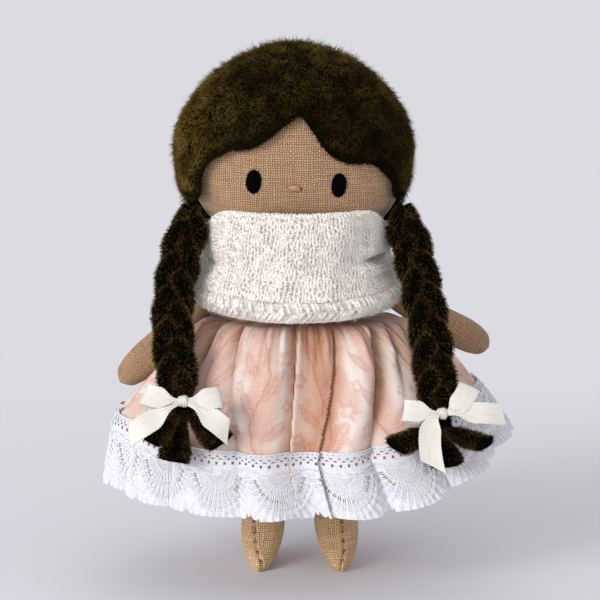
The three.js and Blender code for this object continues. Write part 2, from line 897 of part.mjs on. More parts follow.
// The top edge stands high under the chin and drops to the nape.
function cowlTop(turn) {
  const [low, high] = cowlRiseShares;
  return mix(cowlTopSide, cowlTopFront, smooth((Math.cos(turn) - low) / (high - low)));
}

function cowlPlace(turn, height) {
  const share = (height - cowlBottomFront) / (cowlTopFront - cowlBottomFront);
  const [, width, depth] = readTable(cowlShares, share);
  const [x, y] = roundPoint(turn, cowlHalfWidth * width, cowlHalfDepth * depth, cowlPlanPower);
  return new THREE.Vector3(x, y, height);
}

function cowl() {
  const surface = (turn, up) =>
    cowlPlace(turn, mix(cowlBottom(turn) + cowlHemHeight + cowlHemGap, cowlTop(turn), up));
  return wrap(surface, cowlColumns, cowlRows, cowlThickness);
}

function cowlHem() {
  const bulge = cowlHemThickness - cowlThickness;
  const surface = (turn, up) =>
    cowlPlace(turn, cowlBottom(turn) + cowlHemHeight * up).addScaledVector(
      outwardAt(turn),
      bulge * Math.sin(Math.PI * up) ** 2,
    );
  return wrap(surface, cowlColumns, cowlHemRows, cowlThickness);
}

function node(name, geometry, material) {
  const finish = new THREE.MeshStandardMaterial({ metalness: 0, ...materials[material] });
  const mesh = new THREE.Mesh(geometry, finish);
  mesh.name = name;
  return mesh;
}

function addHead(doll) {
  doll.add(node("head", headForm(0), "linen"));
  const half = eyeSpacing / 2;
  const left = stitchedMark(-half, eyeHeight + eyeTiltHeight, eyeHalfWidth, eyeHalfHeight);
  const right = stitchedMark(half, eyeHeight - eyeTiltHeight, eyeHalfWidth, eyeHalfHeight);
  const nose = stitchedMark(noseOffset, noseHeight, noseHalfWidth, noseHalfHeight);
  doll.add(node("eye_left", left, "thread"));
  doll.add(node("eye_right", right, "thread"));
  doll.add(node("nose_stitch", nose, "noseThread"));
  doll.add(node("hair_front", hairFront(), "wool"));
  doll.add(node("hair_back", hairBack(), "wool"));
}

function addLeg(doll, name, side) {
  const leg = node(name, legForm(), "linen");
  leg.position.set(legOffset + (side * legSpacing) / 2, 0, hipHeight);
  leg.rotation.z = side * degrees(toeOutDegrees);
  doll.add(leg);
}

function addArm(doll, name, arm) {
  const shoulder = new THREE.Group();
  const lean = new THREE.Group();
  const limb = node(name, armForm(), "linen");
  limb.rotation.y = -arm.side * degrees(90 - arm.dropDegrees);
  lean.rotation.z = arm.side * degrees(arm.leanDegrees);
  lean.add(limb);
  shoulder.position.set(arm.side * (torsoHalfWidth + shoulderGap), 0, shoulderHeight);
  shoulder.add(lean);
  doll.add(shoulder);
}

function addBraid(doll, label, braid) {
  ["a", "b", "c"].forEach((letter, strand) => {
    const form = strandForm(braid, strand, tailShares[label][strand]);
    doll.add(node(`braid_${label}_strand_${letter}`, form, "wool"));
  });
  doll.add(node(`braid_${label}_tie`, tieBand(braid), "thread"));
  const place = new THREE.Group();
  place.position.copy(bowPlace(braid));
  place.rotation.x = -degrees(bowTiltDegrees);
  place.add(node(`bow_${label}`, bowForm(bowShares[label]), "satin"));
  place.add(node(`bow_${label}_knot`, knotForm(), "satin"));
  doll.add(place);
}

const doll = new THREE.Group();
addHead(doll);
doll.add(node("torso", torsoForm(), "linen"));
addLeg(doll, "leg_left", -1);
addLeg(doll, "leg_right", 1);
addArm(doll, "arm_left", armLeft);
addArm(doll, "arm_right", armRight);
addBraid(doll, "left", braidLeft);
addBraid(doll, "right", braidRight);
doll.add(node("cowl", cowl(), "knit"));
doll.add(node("cowl_hem", cowlHem(), "knit"));
doll.add(node("waistband", waistband(), "cotton"));
doll.add(node("skirt", wrap(skirtSurface, skirtColumns, skirtRows, skirtThickness), "cotton"));
doll.add(node("lace_trim", wrap(laceSurface, skirtColumns, laceRows, laceThickness), "lace"));

// Stand the doll with the bottom centre of its box on the origin.
const box = new THREE.Box3().setFromObject(doll, true);
const centre = box.getCenter(new THREE.Vector3());
doll.position.set(-centre.x, -centre.y, -box.min.z);

const part = new THREE.Group();
part.add(doll);
part.updateMatrixWorld(true);

export default part;
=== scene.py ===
"""The looks of a small rag doll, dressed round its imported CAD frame.

Lengths are in millimetres in the doll's own frame: x across, y to the back, z up, and the head's middle
at x = y = 0.
"""

import math

import bpy
import numpy as np
from mathutils import Matrix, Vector
from mathutils.kdtree import KDTree


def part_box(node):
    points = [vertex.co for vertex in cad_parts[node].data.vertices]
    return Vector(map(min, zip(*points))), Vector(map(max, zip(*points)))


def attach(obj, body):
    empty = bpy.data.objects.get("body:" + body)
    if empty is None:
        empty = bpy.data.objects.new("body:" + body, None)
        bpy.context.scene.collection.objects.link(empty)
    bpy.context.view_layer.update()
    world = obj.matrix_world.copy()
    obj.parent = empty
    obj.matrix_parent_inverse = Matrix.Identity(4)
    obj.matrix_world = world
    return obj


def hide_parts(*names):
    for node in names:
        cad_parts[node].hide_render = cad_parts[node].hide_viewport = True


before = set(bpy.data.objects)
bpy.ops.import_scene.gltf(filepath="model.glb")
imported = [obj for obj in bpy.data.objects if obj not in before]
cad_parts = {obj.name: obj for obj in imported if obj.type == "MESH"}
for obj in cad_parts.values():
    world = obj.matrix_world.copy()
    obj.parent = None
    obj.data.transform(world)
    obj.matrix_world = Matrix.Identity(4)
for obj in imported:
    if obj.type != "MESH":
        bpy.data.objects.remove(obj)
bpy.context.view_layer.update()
random = np.random.default_rng(7)

head_low, head_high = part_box("head")
SHIFT = np.array([head_low.x + head_high.x, head_low.y + head_high.y, 0.0]) * 500

TAU = 2 * math.pi

# The photograph's view
CAMERA_DISTANCE = 600
CAMERA_PITCH = math.radians(10)
CAMERA_AIM = (0.87, 0, 77.9)
CAMERA_LENS = 124.14

# Head, face, body
HEAD = {"half": (31.3, 22.7), "above": 28.4, "below": 28.4, "centre": 121, "powers": (1.9, 2.2, 2.3)}
HAIR_CENTRE = (-1, 0, 122.6)
TORSO_HALF = (19.8, 12.6)
TORSO_POWER = 2.3
TORSO_BOTTOM = 40.45
TORSO_HEIGHT = 56
TORSO_SHARES = [
    (0, 0.91, 0.1), (0.025, 0.955, 0.33), (0.08, 0.99, 0.64), (0.17, 1, 0.88), (0.31, 0.98, 0.99),
    (0.49, 0.96, 1), (0.64, 0.98, 0.91), (0.75, 0.97, 0.8), (0.83, 0.95, 0.7), (0.9, 0.72, 0.6),
    (0.95, 0.48, 0.56), (1, 0.45, 0.56),
]
LEG_HALF = (6.7, 6.4)
LEG_LENGTH = 39.85
LEG_TOP = 39.85
FOOT_REACH = 5.2
LEGS = {"left": {"x": -9.9, "turn": -6}, "right": {"x": 11.5, "turn": 6}}
LEG_SHARES = [
    (0, 0.9, 0.1, 0), (0.05, 0.94, 0.4, 0), (0.14, 0.98, 0.76, 0), (0.28, 1, 0.98, 0), (0.5, 0.99, 1, 0),
    (0.68, 0.97, 1, 0.08), (0.79, 0.92, 1.2, 0.45), (0.87, 0.8, 1.34, 0.8), (0.935, 0.64, 1.4, 1),
    (0.98, 0.5, 1.34, 1), (1, 0.42, 1.25, 1),
]
ARM_LENGTH = 45
ARM_HALF = 4.9
ARMS = {"left": {"side": -1, "drop": 43.5, "lean": 14}, "right": {"side": 1, "drop": 29, "lean": 22}}
SHOULDER = (20.6, 82.8)
ARM_SHARES = [
    (0, 0.1, 0.66), (0.06, 0.38, 0.72), (0.14, 0.55, 0.77), (0.27, 0.72, 0.82), (0.45, 0.88, 0.9),
    (0.64, 0.99, 0.97), (0.79, 1, 0.97), (0.89, 0.86, 0.84), (0.96, 0.56, 0.56), (1, 0.06, 0.06),
]


def metres(points):
    return (np.asarray(points, float) + SHIFT) / 1000


def mix(low, high, share):
    return low + (high - low) * share


def smooth(share):
    held = np.clip(share, 0, 1)
    return held * held * (3 - 2 * held)


def unit(vectors):
    return vectors / np.maximum(np.linalg.norm(vectors, axis=-1, keepdims=True), 1e-9)


def curve_table(rows, places):
    """Reads a table at places between its rows, on a smooth curve. Column 0 is the place."""
    rows = np.asarray(rows, float)
    x, y = rows[:, 0], rows[:, 1:]
    slopes = np.gradient(y, x, axis=0)
    places = np.clip(places, x[0], x[-1])
    index = np.clip(np.searchsorted(x, places, side="right") - 1, 0, len(x) - 2)
    width = (x[index + 1] - x[index])
    t = ((places - x[index]) / width)[:, None]
    width = width[:, None]
    return (
        (1 + 2 * t) * (1 - t) ** 2 * y[index]
        + t * (1 - t) ** 2 * width * slopes[index]
        + t * t * (3 - 2 * t) * y[index + 1]
        + t * t * (t - 1) * width * slopes[index + 1]
    )


def round_point(turn, half_width, half_depth, power):
    """A point on a rounded outline. A turn of 0 is at the front, a quarter turn at +x."""
    across, along = np.sin(turn), np.cos(turn)
    reach = 2 / power
    return (
        half_width * np.sign(across) * np.abs(across) ** reach,
        -half_depth * np.sign(along) * np.abs(along) ** reach,
    )


def full_turn(count):
    """Turns from the back round by the front, the last one a step before the back again."""
    return np.linspace(-math.pi, math.pi, count, endpoint=False)


def lengths(points, axis):
    """How far each point lies along its line, from the first."""
    steps = np.linalg.norm(np.diff(points, axis=axis), axis=-1)
    pad = [(0, 0)] * steps.ndim
    pad[axis] = (1, 0)
    return np.pad(np.cumsum(steps, axis=axis), pad)


def ripple(points, size, seed):
    """Gentle unevenness from -1 to 1 at a size in millimetres: a few crossing waves."""
    dice = np.random.default_rng(seed)
    total = np.zeros(points.shape[:-1])
    for _ in range(7):
        direction = unit(dice.normal(size=3)) * dice.uniform(0.7, 1.6) * TAU / size
        total += np.sin(points @ direction + dice.uniform(0, TAU))
    return total / 7 * 1.6


class Skin:
    """Collects grids and tubes into one mesh, with a cloth map in mm and two numbers for the shader."""

    def __init__(self):
        self.points, self.faces, self.cloth, self.tone, self.along = [], [], [], [], []
        self.count = 0

    def add(self, points, faces, cloth=None, tone=0.5, along=0.5):
        points = np.asarray(points, float).reshape(-1, 3)
        self.points.append(points)
        self.faces.append(np.asarray(faces) + self.count)
        self.cloth.append(np.zeros((faces.size, 2)) if cloth is None else cloth.reshape(-1, 2))
        self.tone.append(np.broadcast_to(tone, len(points)))
        self.along.append(np.broadcast_to(along, len(points)))
        self.count += len(points)

    def grid(self, points, cloth=None, closed=True, flip=False, keep=None, **numbers):
        """Rows of points. A closed grid joins its last column to its first; its map has one column more."""
        rows, columns = points.shape[:2]
        across = np.arange(columns if closed else columns - 1)
        up = np.arange(rows - 1)[:, None]
        after = (across + 1) % columns
        low, high = up * columns, (up + 1) * columns
        faces = np.stack([low + across, low + after, high + after, high + across], -1)
        corners = None
        if cloth is not None:
            corners = np.stack([cloth[:-1, :-1], cloth[:-1, 1:], cloth[1:, 1:], cloth[1:, :-1]], 2)
        if flip:
            faces = faces[..., ::-1]
            corners = None if corners is None else corners[:, :, ::-1]
        if keep is not None:
            faces, corners = faces[keep], None if corners is None else corners[keep]
        self.add(points, faces.reshape(-1, 4), corners, **numbers)

    def tubes(self, paths, outward, radius, sides=4, flatness=1.0, tone=0.5, caps=True):
        """Threads along paths of shape (threads, steps, 3). flatness squeezes them where they face out."""
        paths = np.asarray(paths, float)
        count, steps = paths.shape[:2]
        along = unit(np.gradient(paths, axis=1))
        outward = np.broadcast_to(outward, paths.shape)
        lift = unit(outward - (outward * along).sum(-1, keepdims=True) * along)
        side = np.cross(along, lift)
        radius = np.broadcast_to(radius, (count, steps))[..., None, None]
        angle = np.arange(sides) * TAU / sides
        across = side[:, :, None] * np.sin(angle)[:, None]
        ring = (lift[:, :, None] * np.cos(angle)[:, None] * flatness + across) * radius
        points = paths[:, :, None] + ring
        index = np.arange(count * steps * sides).reshape(count, steps, sides)
        a, b = index[:, :-1], index[:, 1:]
        faces = np.stack([a, np.roll(a, -1, 2), np.roll(b, -1, 2), b], -1).reshape(-1, 4)
        run = lengths(paths, 1)
        around = np.arange(sides + 1) / sides * TAU * float(np.mean(radius))
        map_u = np.broadcast_to(run[:, :, None], (count, steps, sides + 1))
        map_v = np.broadcast_to(around, (count, steps, sides + 1))
        cloth = np.stack([map_u, map_v], -1)
        quads = [cloth[:, :-1, :-1], cloth[:, :-1, 1:], cloth[:, 1:, 1:], cloth[:, 1:, :-1]]
        corners = np.stack(quads, 3).reshape(-1, 4, 2)
        share = np.broadcast_to(np.linspace(0, 1, steps)[None, :, None], (count, steps, sides))
        tone = np.broadcast_to(np.asarray(tone, float).reshape(-1, 1, 1), (count, steps, sides))
        self.add(points, faces[:, ::-1], corners[:, ::-1], tone.ravel(), share.ravel())
        if caps and sides == 4:
            ends = np.concatenate([index[:, 0], index[:, -1, ::-1]])
            self.faces.append(ends + self.count - points[..., 0].size)
            self.cloth.append(np.zeros((ends.size, 2)))

    def build(self, name, material):
        """The collected mesh as one object."""
        mesh = bpy.data.meshes.new(name)
        points = metres(np.concatenate(self.points))
        corners = np.concatenate([f.ravel() for f in self.faces])
        sizes = np.concatenate([np.full(len(f), f.shape[1]) for f in self.faces])
        mesh.vertices.add(len(points))
        mesh.vertices.foreach_set("co", points.astype(np.float32).ravel())
        mesh.loops.add(len(corners))
        mesh.loops.foreach_set("vertex_index", corners.astype(np.int32))
        mesh.polygons.add(len(sizes))
        starts = np.concatenate([[0], np.cumsum(sizes)[:-1]])
        mesh.polygons.foreach_set("loop_start", starts.astype(np.int32))
        mesh.update(calc_edges=True)
        mesh.polygons.foreach_set("use_smooth", np.ones(len(sizes), bool))
        layer = mesh.uv_layers.new(name="cloth")
        layer.uv.foreach_set("vector", np.concatenate(self.cloth).astype(np.float32).ravel())
        for key, values in (("tone", self.tone), ("along", self.along)):
            attribute = mesh.attributes.new(key, "FLOAT", "POINT")
            attribute.data.foreach_set("value", np.concatenate(values).astype(np.float32))
        mesh.validate()
        mesh.materials.append(material)
        made = bpy.data.objects.new(name, mesh)
        bpy.context.scene.collection.objects.link(made)
        return made

    def dress(self, name, material, body, slot, *nodes):
        """The collected mesh as one object that rides on a body and stands for CAD nodes."""
        return dress(self.build(name, material), body, slot, *nodes)


def dress(piece, body, slot, *nodes):
    """Lets a piece ride on a body and stand for CAD nodes. The slot is not used."""
    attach(piece, body)
    if nodes:
        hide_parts(*nodes)
    return piece


class Shader:
    """A small helper that wires a material's nodes."""

    def __init__(self, name):
        self.material = bpy.data.materials.new(name)
        self.material.use_nodes = True
        self.tree = self.material.node_tree
        self.tree.nodes.clear()
        self.output = self.tree.nodes.new("ShaderNodeOutputMaterial")

    def wire(self, node, inputs):
        for key, value in inputs.items():
            socket = node.inputs[key]
            if isinstance(value, bpy.types.NodeSocket):
                self.tree.links.new(value, socket)
            else:
                socket.default_value = value
        return node

    def math(self, operation, *values):
        node = self.tree.nodes.new("ShaderNodeMath")
        node.operation = operation
        return self.wire(node, dict(enumerate(values))).outputs[0]

    def plus(self, first, second):
        return self.math("ADD", first, second)

    def minus(self, first, second):
        return self.math("SUBTRACT", first, second)

    def times(self, first, second):
        return self.math("MULTIPLY", first, second)

    def over(self, first, second):
        return self.math("DIVIDE", first, second)

    def attribute(self, name):
        node = self.tree.nodes.new("ShaderNodeAttribute")
        node.attribute_name = name
        return node.outputs["Fac"]

    def cloth(self):
        node = self.tree.nodes.new("ShaderNodeUVMap")
        node.uv_map = "cloth"
        parts = self.tree.nodes.new("ShaderNodeSeparateXYZ")
        self.tree.links.new(node.outputs[0], parts.inputs[0])
        return parts.outputs[0], parts.outputs[1]

    def vector(self, x=0.0, y=0.0, z=0.0):
        node = self.tree.nodes.new("ShaderNodeCombineXYZ")
        return self.wire(node, {0: x, 1: y, 2: z}).outputs[0]

    def place(self):
        return self.tree.nodes.new("ShaderNodeTexCoord").outputs["Object"]

    def noise(self, vector, scale, detail=2.0, roughness=0.5):
        node = self.tree.nodes.new("ShaderNodeTexNoise")
        inputs = {"Vector": vector, "Scale": scale, "Detail": detail, "Roughness": roughness}
        return self.wire(node, inputs).outputs[0]

    def ramp(self, value, low, high, start=0.0, end=1.0):
        """A value remapped on a soft slope from low..high to start..end."""
        node = self.tree.nodes.new("ShaderNodeMapRange")
        node.interpolation_type = "SMOOTHSTEP"
        return self.wire(node, {0: value, 1: low, 2: high, 3: start, 4: end}).outputs[0]

    def blend(self, share, low, high, mode="MIX"):
        """A mix of two colours."""
        node = self.tree.nodes.new("ShaderNodeMix")
        node.data_type = "RGBA"
        node.blend_type = mode
        return self.wire(node, {0: share, 6: self.colour(low), 7: self.colour(high)}).outputs[2]

    @staticmethod
    def colour(value):
        """A colour written as it looks on a screen, from 0 to 255."""
        if isinstance(value, bpy.types.NodeSocket):
            return value
        share = np.array(value[:3], float) / 255
        linear = np.where(share <= 0.04045, share / 12.92, ((share + 0.055) / 1.055) ** 2.4)
        return (*linear.tolist(), 1.0)

    def bump(self, height, distance, strength=1.0):
        node = self.tree.nodes.new("ShaderNodeBump")
        inputs = {"Height": height, "Distance": distance / 1000, "Strength": strength}
        return self.wire(node, inputs).outputs[0]

    def finish(self, colour, roughness, normal=None, **constants):
        shader = self.tree.nodes.new("ShaderNodeBsdfPrincipled")
        inputs = {"Base Color": self.colour(colour), "Roughness": roughness}
        if normal is not None:
            inputs["Normal"] = normal
        inputs.update({key.replace("_", " "): value for key, value in constants.items()})
        self.wire(shader, inputs)
        self.tree.links.new(shader.outputs[0], self.output.inputs[0])
        return self.material


# Materials

def weave(shader, pitch, wander=0.12, seed=0.0):
    """A plain weave on the cloth map: its height, which thread lies on top, and the threads' tones."""
    u, v = shader.cloth()
    flat = shader.vector(u, v, seed)
    drift = shader.minus(shader.noise(flat, 0.35), 0.5)
    swing = shader.minus(shader.noise(shader.vector(v, u, seed + 9), 0.35), 0.5)
    a = shader.over(shader.plus(u, shader.times(drift, wander * 8)), pitch)
    b = shader.over(shader.plus(v, shader.times(swing, wander * 8)), pitch)
    sine_a = shader.math("SINE", shader.times(a, math.pi))
    sine_b = shader.math("SINE", shader.times(b, math.pi))
    crossing = shader.times(sine_a, sine_b)
    warp_top = shader.ramp(crossing, -0.12, 0.12)
    width_a = shader.math("POWER", shader.math("ABSOLUTE", sine_a), 0.7)
    width_b = shader.math("POWER", shader.math("ABSOLUTE", sine_b), 0.7)
    warp = shader.times(width_a, shader.math("MULTIPLY_ADD", width_b, 0.45, 0.55))
    weft = shader.times(width_b, shader.math("MULTIPLY_ADD", width_a, 0.45, 0.55))
    weft_top = shader.minus(1.0, warp_top)
    height = shader.plus(shader.times(warp, warp_top), shader.times(weft, weft_top))
    slub_a = shader.noise(shader.vector(shader.times(a, 0.9), shader.times(b, 0.08), seed), 1.0)
    slub_b = shader.noise(shader.vector(shader.times(a, 0.08), shader.times(b, 0.9), seed), 1.0)
    tone = shader.plus(shader.times(slub_a, warp_top), shader.times(slub_b, weft_top))
    return height, warp_top, tone


# Millimetres from thread to thread
LINEN_PITCH, COTTON_PITCH, LACE_PITCH = 0.66, 0.42, 0.5
# The linen's gaps, its darkest and lightest threads, and those lit most
LINEN = [(72, 42, 20), (140, 105, 71), (199, 162, 126), (211, 179, 145)]


def linen_material(name, seed=0.0, light=1.0):
    """Plain weave with dark gaps: thread tones from low to high, with threads on top of the warp painted
    lighter as a highlight, all scaled by light, which above 1 is painted light for a piece that lies in
    shade.
    """
    shader = Shader(name)
    height, warp_top, tone = weave(shader, LINEN_PITCH, seed=seed)
    # A light above 1 is painted light: every tone is made brighter for a piece that lies in shade.
    dark, low, high, sunlit = (tuple(min(250, c * light) for c in tint) for tint in LINEN)
    thread = shader.blend(shader.ramp(tone, 0.2, 0.8), low, high)
    # Painted highlight: warp threads on top blend toward the sunlit tone.
    thread = shader.blend(shader.times(warp_top, 0.25), thread, sunlit)
    broad = shader.noise(shader.place(), 60.0)
    thread = shader.blend(shader.ramp(broad, 0.3, 0.75, 0.0, 0.35), thread, low)
    colour = shader.blend(shader.ramp(height, 0.2, 0.72), dark, thread)
    normal = shader.bump(height, 0.16, 0.8)
    return shader.finish(colour, 0.92, normal, Sheen_Weight=0.15, Sheen_Roughness=0.5)


def wool_material(name, root, tip):
    """Fleece fibres: painted shade at the root and a painted rim light at the tip, each fibre with its own
    tone.
    """
    shader = Shader(name)
    along = shader.ramp(shader.attribute("along"), 0.1, 0.9)
    tone = shader.attribute("tone")
    # Painted shade at the root and painted light at the tip, set by each fibre's tone and its place along
    # it.
    colour = shader.blend(shader.times(along, tone), root, tip)
    broad = shader.noise(shader.place(), 150.0)
    colour = shader.blend(shader.ramp(broad, 0.35, 0.65, 0.0, 0.6), colour, root)
    return shader.finish(colour, 1.0, Specular_IOR_Level=0.04)


def felt_material(name, dark, light):
    """The matted ground under the fibres."""
    shader = Shader(name)
    fine = shader.noise(shader.place(), 1300.0, 4.0, 0.65)
    broad = shader.noise(shader.place(), 180.0)
    colour = shader.blend(shader.ramp(fine, 0.35, 0.72), dark, light)
    colour = shader.blend(shader.ramp(broad, 0.4, 0.75, 0.0, 0.5), colour, dark)
    return shader.finish(colour, 0.95, shader.bump(fine, 0.5), Specular_IOR_Level=0.03)


def thread_material(name, dark, light, pitch=0.55, roughness=0.6, depth=0.05, gloss=0.3):
    """Twisted thread: fine slanting strokes along each thread, from its cloth map."""
    shader = Shader(name)
    u, v = shader.cloth()
    slant = shader.plus(u, shader.times(v, 1.1))
    twist = shader.math("SINE", shader.times(slant, TAU / pitch))
    own = shader.attribute("tone")
    fine = shader.noise(shader.place(), 2600.0)
    share = shader.plus(shader.times(shader.ramp(twist, -1.0, 1.0), 0.45),
                        shader.times(shader.plus(own, fine), 0.3))
    colour = shader.blend(share, dark, light)
    normal = shader.bump(shader.plus(twist, fine), depth)
    return shader.finish(colour, roughness, normal, Specular_IOR_Level=gloss)


# Linen body

def egg_points(form, turns, lifts, grow=0.0):
    """Points on an egg with its own power above and below its widest ring."""
    turn, lift = np.meshgrid(turns, lifts)
    upper = lift > 0
    power = np.where(upper, form["powers"][0], form["powers"][1])
    high = np.where(upper, form["above"], form["below"]) + grow
    rise = high * np.sign(lift) * np.abs(np.sin(lift)) ** (2 / power)
    wide = np.maximum(0, np.cos(lift)) ** (2 / power)
    half_width, half_depth = ((half + grow) * wide for half in form["half"])
    x, y = round_point(turn, half_width, half_depth, form["powers"][2])
    return np.stack([x, y, form["centre"] + rise], -1)


def centred_map(points):
    """A cloth map for a closed grid that starts at the back: 0, 0 is at the front of its middle row."""
    loop = np.concatenate([points, points[:, :1]], 1)
    across = lengths(loop, 1)
    middle = points.shape[1] // 2
    across -= across[:, middle : middle + 1]
    up = lengths(loop, 0)
    up -= up[points.shape[0] // 2]
    return np.stack([across, up], -1)


def swell(points, amount, size, seed):
    """Moves a closed grid's points in and out a little, as stuffing does."""
    around = np.roll(points, -1, 1) - np.roll(points, 1, 1)
    rise = np.gradient(points, axis=0)
    outward = unit(np.cross(around, rise))
    return points + outward * (amount * ripple(points, size, seed))[..., None]


def make_head(material):
    turns = full_turn(240)
    lifts = np.linspace(-math.pi / 2 + 0.02, math.pi / 2 - 0.02, 140)
    points = swell(egg_points(HEAD, turns, lifts, -0.05), 0.22, 26, 3)
    skin = Skin()
    skin.grid(points, centred_map(points))
    head = skin.dress("head_linen", material, "dressed_body", "linen", "head")
    return head


def face_depth(across, height):
    """How far forward the face lies at a place across and up."""
    rise = np.abs(height - HEAD["centre"]) / HEAD["above"]
    power = np.where(height > HEAD["centre"], HEAD["powers"][0], HEAD["powers"][1])
    wide = (1 - rise**power) ** (1 / power)
    share = np.abs(across) / (HEAD["half"][0] * wide)
    return -HEAD["half"][1] * wide * (1 - share ** HEAD["powers"][2]) ** (1 / HEAD["powers"][2])


EYES = {"left": (-12.0, 114.9), "right": (11.65, 113.9)}
EYE_HALF = (2.0, 3.28)


def make_eye(label, material):
    """Satin stitch: threads laid side by side over a low dome, slightly slanted."""
    across, height = EYES[label]
    count, steps = 15, 15
    offset = (np.arange(count) + 0.5) / count * 2 - 1
    reach = np.sqrt(1 - offset**2) ** 0.9 * (1 + 0.03 * random.normal(size=count))
    share = np.linspace(-1, 1, steps)
    x = across + EYE_HALF[0] * offset[:, None] + 0.12 * share
    z = height + EYE_HALF[1] * reach[:, None] * share
    aside, rise = 0.92 * offset[:, None], 0.95 * share * reach[:, None]
    dome = np.sqrt(np.maximum(0, 1 - aside**2 - rise**2))
    y = face_depth(x, z) - 0.75 * dome + 0.12
    skin = Skin()
    skin.tubes(np.stack([x, y, z], -1), (0, -1, 0), 0.27, 6, tone=random.uniform(0.2, 0.8, count))
    turns = np.linspace(0, TAU, 33)[:-1]
    rings = []
    for wide in np.linspace(1, 0.05, 8):
        rx, rz = across + EYE_HALF[0] * wide * np.cos(turns), height + EYE_HALF[1] * wide * np.sin(turns)
        rings.append(np.stack([rx, face_depth(rx, rz) - 0.55 * math.sqrt(1 - wide**2) - 0.05, rz], -1))
    skin.grid(np.array(rings))
    return skin.dress(f"eye_{label}_stitch", material, "dressed_body", "eye_thread", f"eye_{label}")


def make_nose(material, dark):
    """A thin stitch and a small knot of tan thread, with a black mark at its right end: painted shade."""
    starts = np.array([[-3.2, 112.6], [-1.7, 113.3], [-1.4, 112.8]])
    ends = np.array([[0.0, 113.2], [0.6, 113.2], [0.8, 112.7]])
    share = np.linspace(0, 1, 14)
    flat = mix(starts[:, None], ends[:, None], share[:, None])
    arch = np.sin(np.pi * share) ** 0.6 * 0.65
    x, z = flat[..., 0], flat[..., 1] + 0.25 * np.sin(np.pi * share)
    y = face_depth(x, z) - arch + 0.08
    skin = Skin()
    radii = np.array([[0.28], [0.62], [0.56]])
    skin.tubes(np.stack([x, y, z], -1), (0, -1, 0), radii, 6, tone=random.uniform(0.2, 0.9, len(x)))
    skin.dress("nose_thread", material, "dressed_body", "nose_thread", "nose_stitch")
    # Painted shade: a black mark beside the knot's right end.
    share = np.linspace(-1, 1, 7)
    x, z = 1.05 + 0.15 * share, 112.9 + 0.4 * share
    nose_shade_mark = Skin()
    nose_shade_mark.tubes(np.stack([x, face_depth(x, z) - 0.02, z], -1)[None], (0, -1, 0), 0.3, 6)
    nose_shade_mark.dress("nose_painted_shade", dark, "dressed_body", "nose_thread")


def make_torso(material):
    turns = full_turn(120)
    share = np.linspace(0, 0.985, 90)
    wide, deep = curve_table(TORSO_SHARES, share).T
    half_width, half_depth = TORSO_HALF[0] * wide[:, None], TORSO_HALF[1] * deep[:, None]
    x, y = round_point(turns[None], half_width, half_depth, TORSO_POWER)
    points = np.stack([x, y, np.broadcast_to(TORSO_BOTTOM + TORSO_HEIGHT * share[:, None], x.shape)], -1)
    points = swell(points, 0.2, 22, 5)
    skin = Skin()
    skin.grid(points, centred_map(points))
    torso = skin.dress("torso_linen", material, "dressed_body", "linen", "torso")
    return torso


# Front seams: how far across from the leg's middle line the seam runs at each height
LEG_SEAMS = {
    "left": [(3, 1.2), (6, -0.4), (9, -1.3), (11, -1.6), (14, -2.1), (17, -2.5), (24, -2.4), (34, -1.5)],
    "right": [(3, -0.2), (6, 0.9), (9, 1.0), (11, 1.0), (14, 0.9), (17, 0.5), (24, 0.2), (34, 0)],
}


def leg_points(label, rows, columns):
    """A leg about its own upright line, with a pinched seam down its front. Column 0 is at the back."""
    share = 1 - (1 - np.linspace(0, 1, rows)) ** 1.6
    wide, deep, forward = curve_table(LEG_SHARES, share).T
    turns = full_turn(columns)
    x, y = round_point(turns[None], (LEG_HALF[0] * wide)[:, None], (LEG_HALF[1] * deep)[:, None], 2)
    y = y - FOOT_REACH * forward[:, None]
    z = np.broadcast_to((LEG_TOP - LEG_LENGTH * share)[:, None], x.shape)
    seam = curve_table(LEG_SEAMS[label], z[:, 0])
    front = (y < -FOOT_REACH * forward[:, None]) & (z > 0.4)
    away = x - seam
    groove = -0.5 * np.exp(-((away / 0.38) ** 2)) + 0.28 * np.exp(-((np.abs(away) - 0.9) / 0.5) ** 2)
    pucker = 1 + 0.25 * np.sin(z * 2.3 + 1)
    points = np.stack([x, y, z], -1)
    outward = unit(np.stack([x, y + FOOT_REACH * forward[:, None], np.zeros_like(x)], -1))
    points = points + outward * np.where(front, groove * pucker, 0)[..., None]
    return points


def turned(points, degrees, origin):
    """Points turned about the vertical, then set at an origin."""
    angle = math.radians(degrees)
    cos, sin = math.cos(angle), math.sin(angle)
    spin = np.array([[cos, -sin, 0], [sin, cos, 0], [0, 0, 1]])
    return points @ spin.T + origin


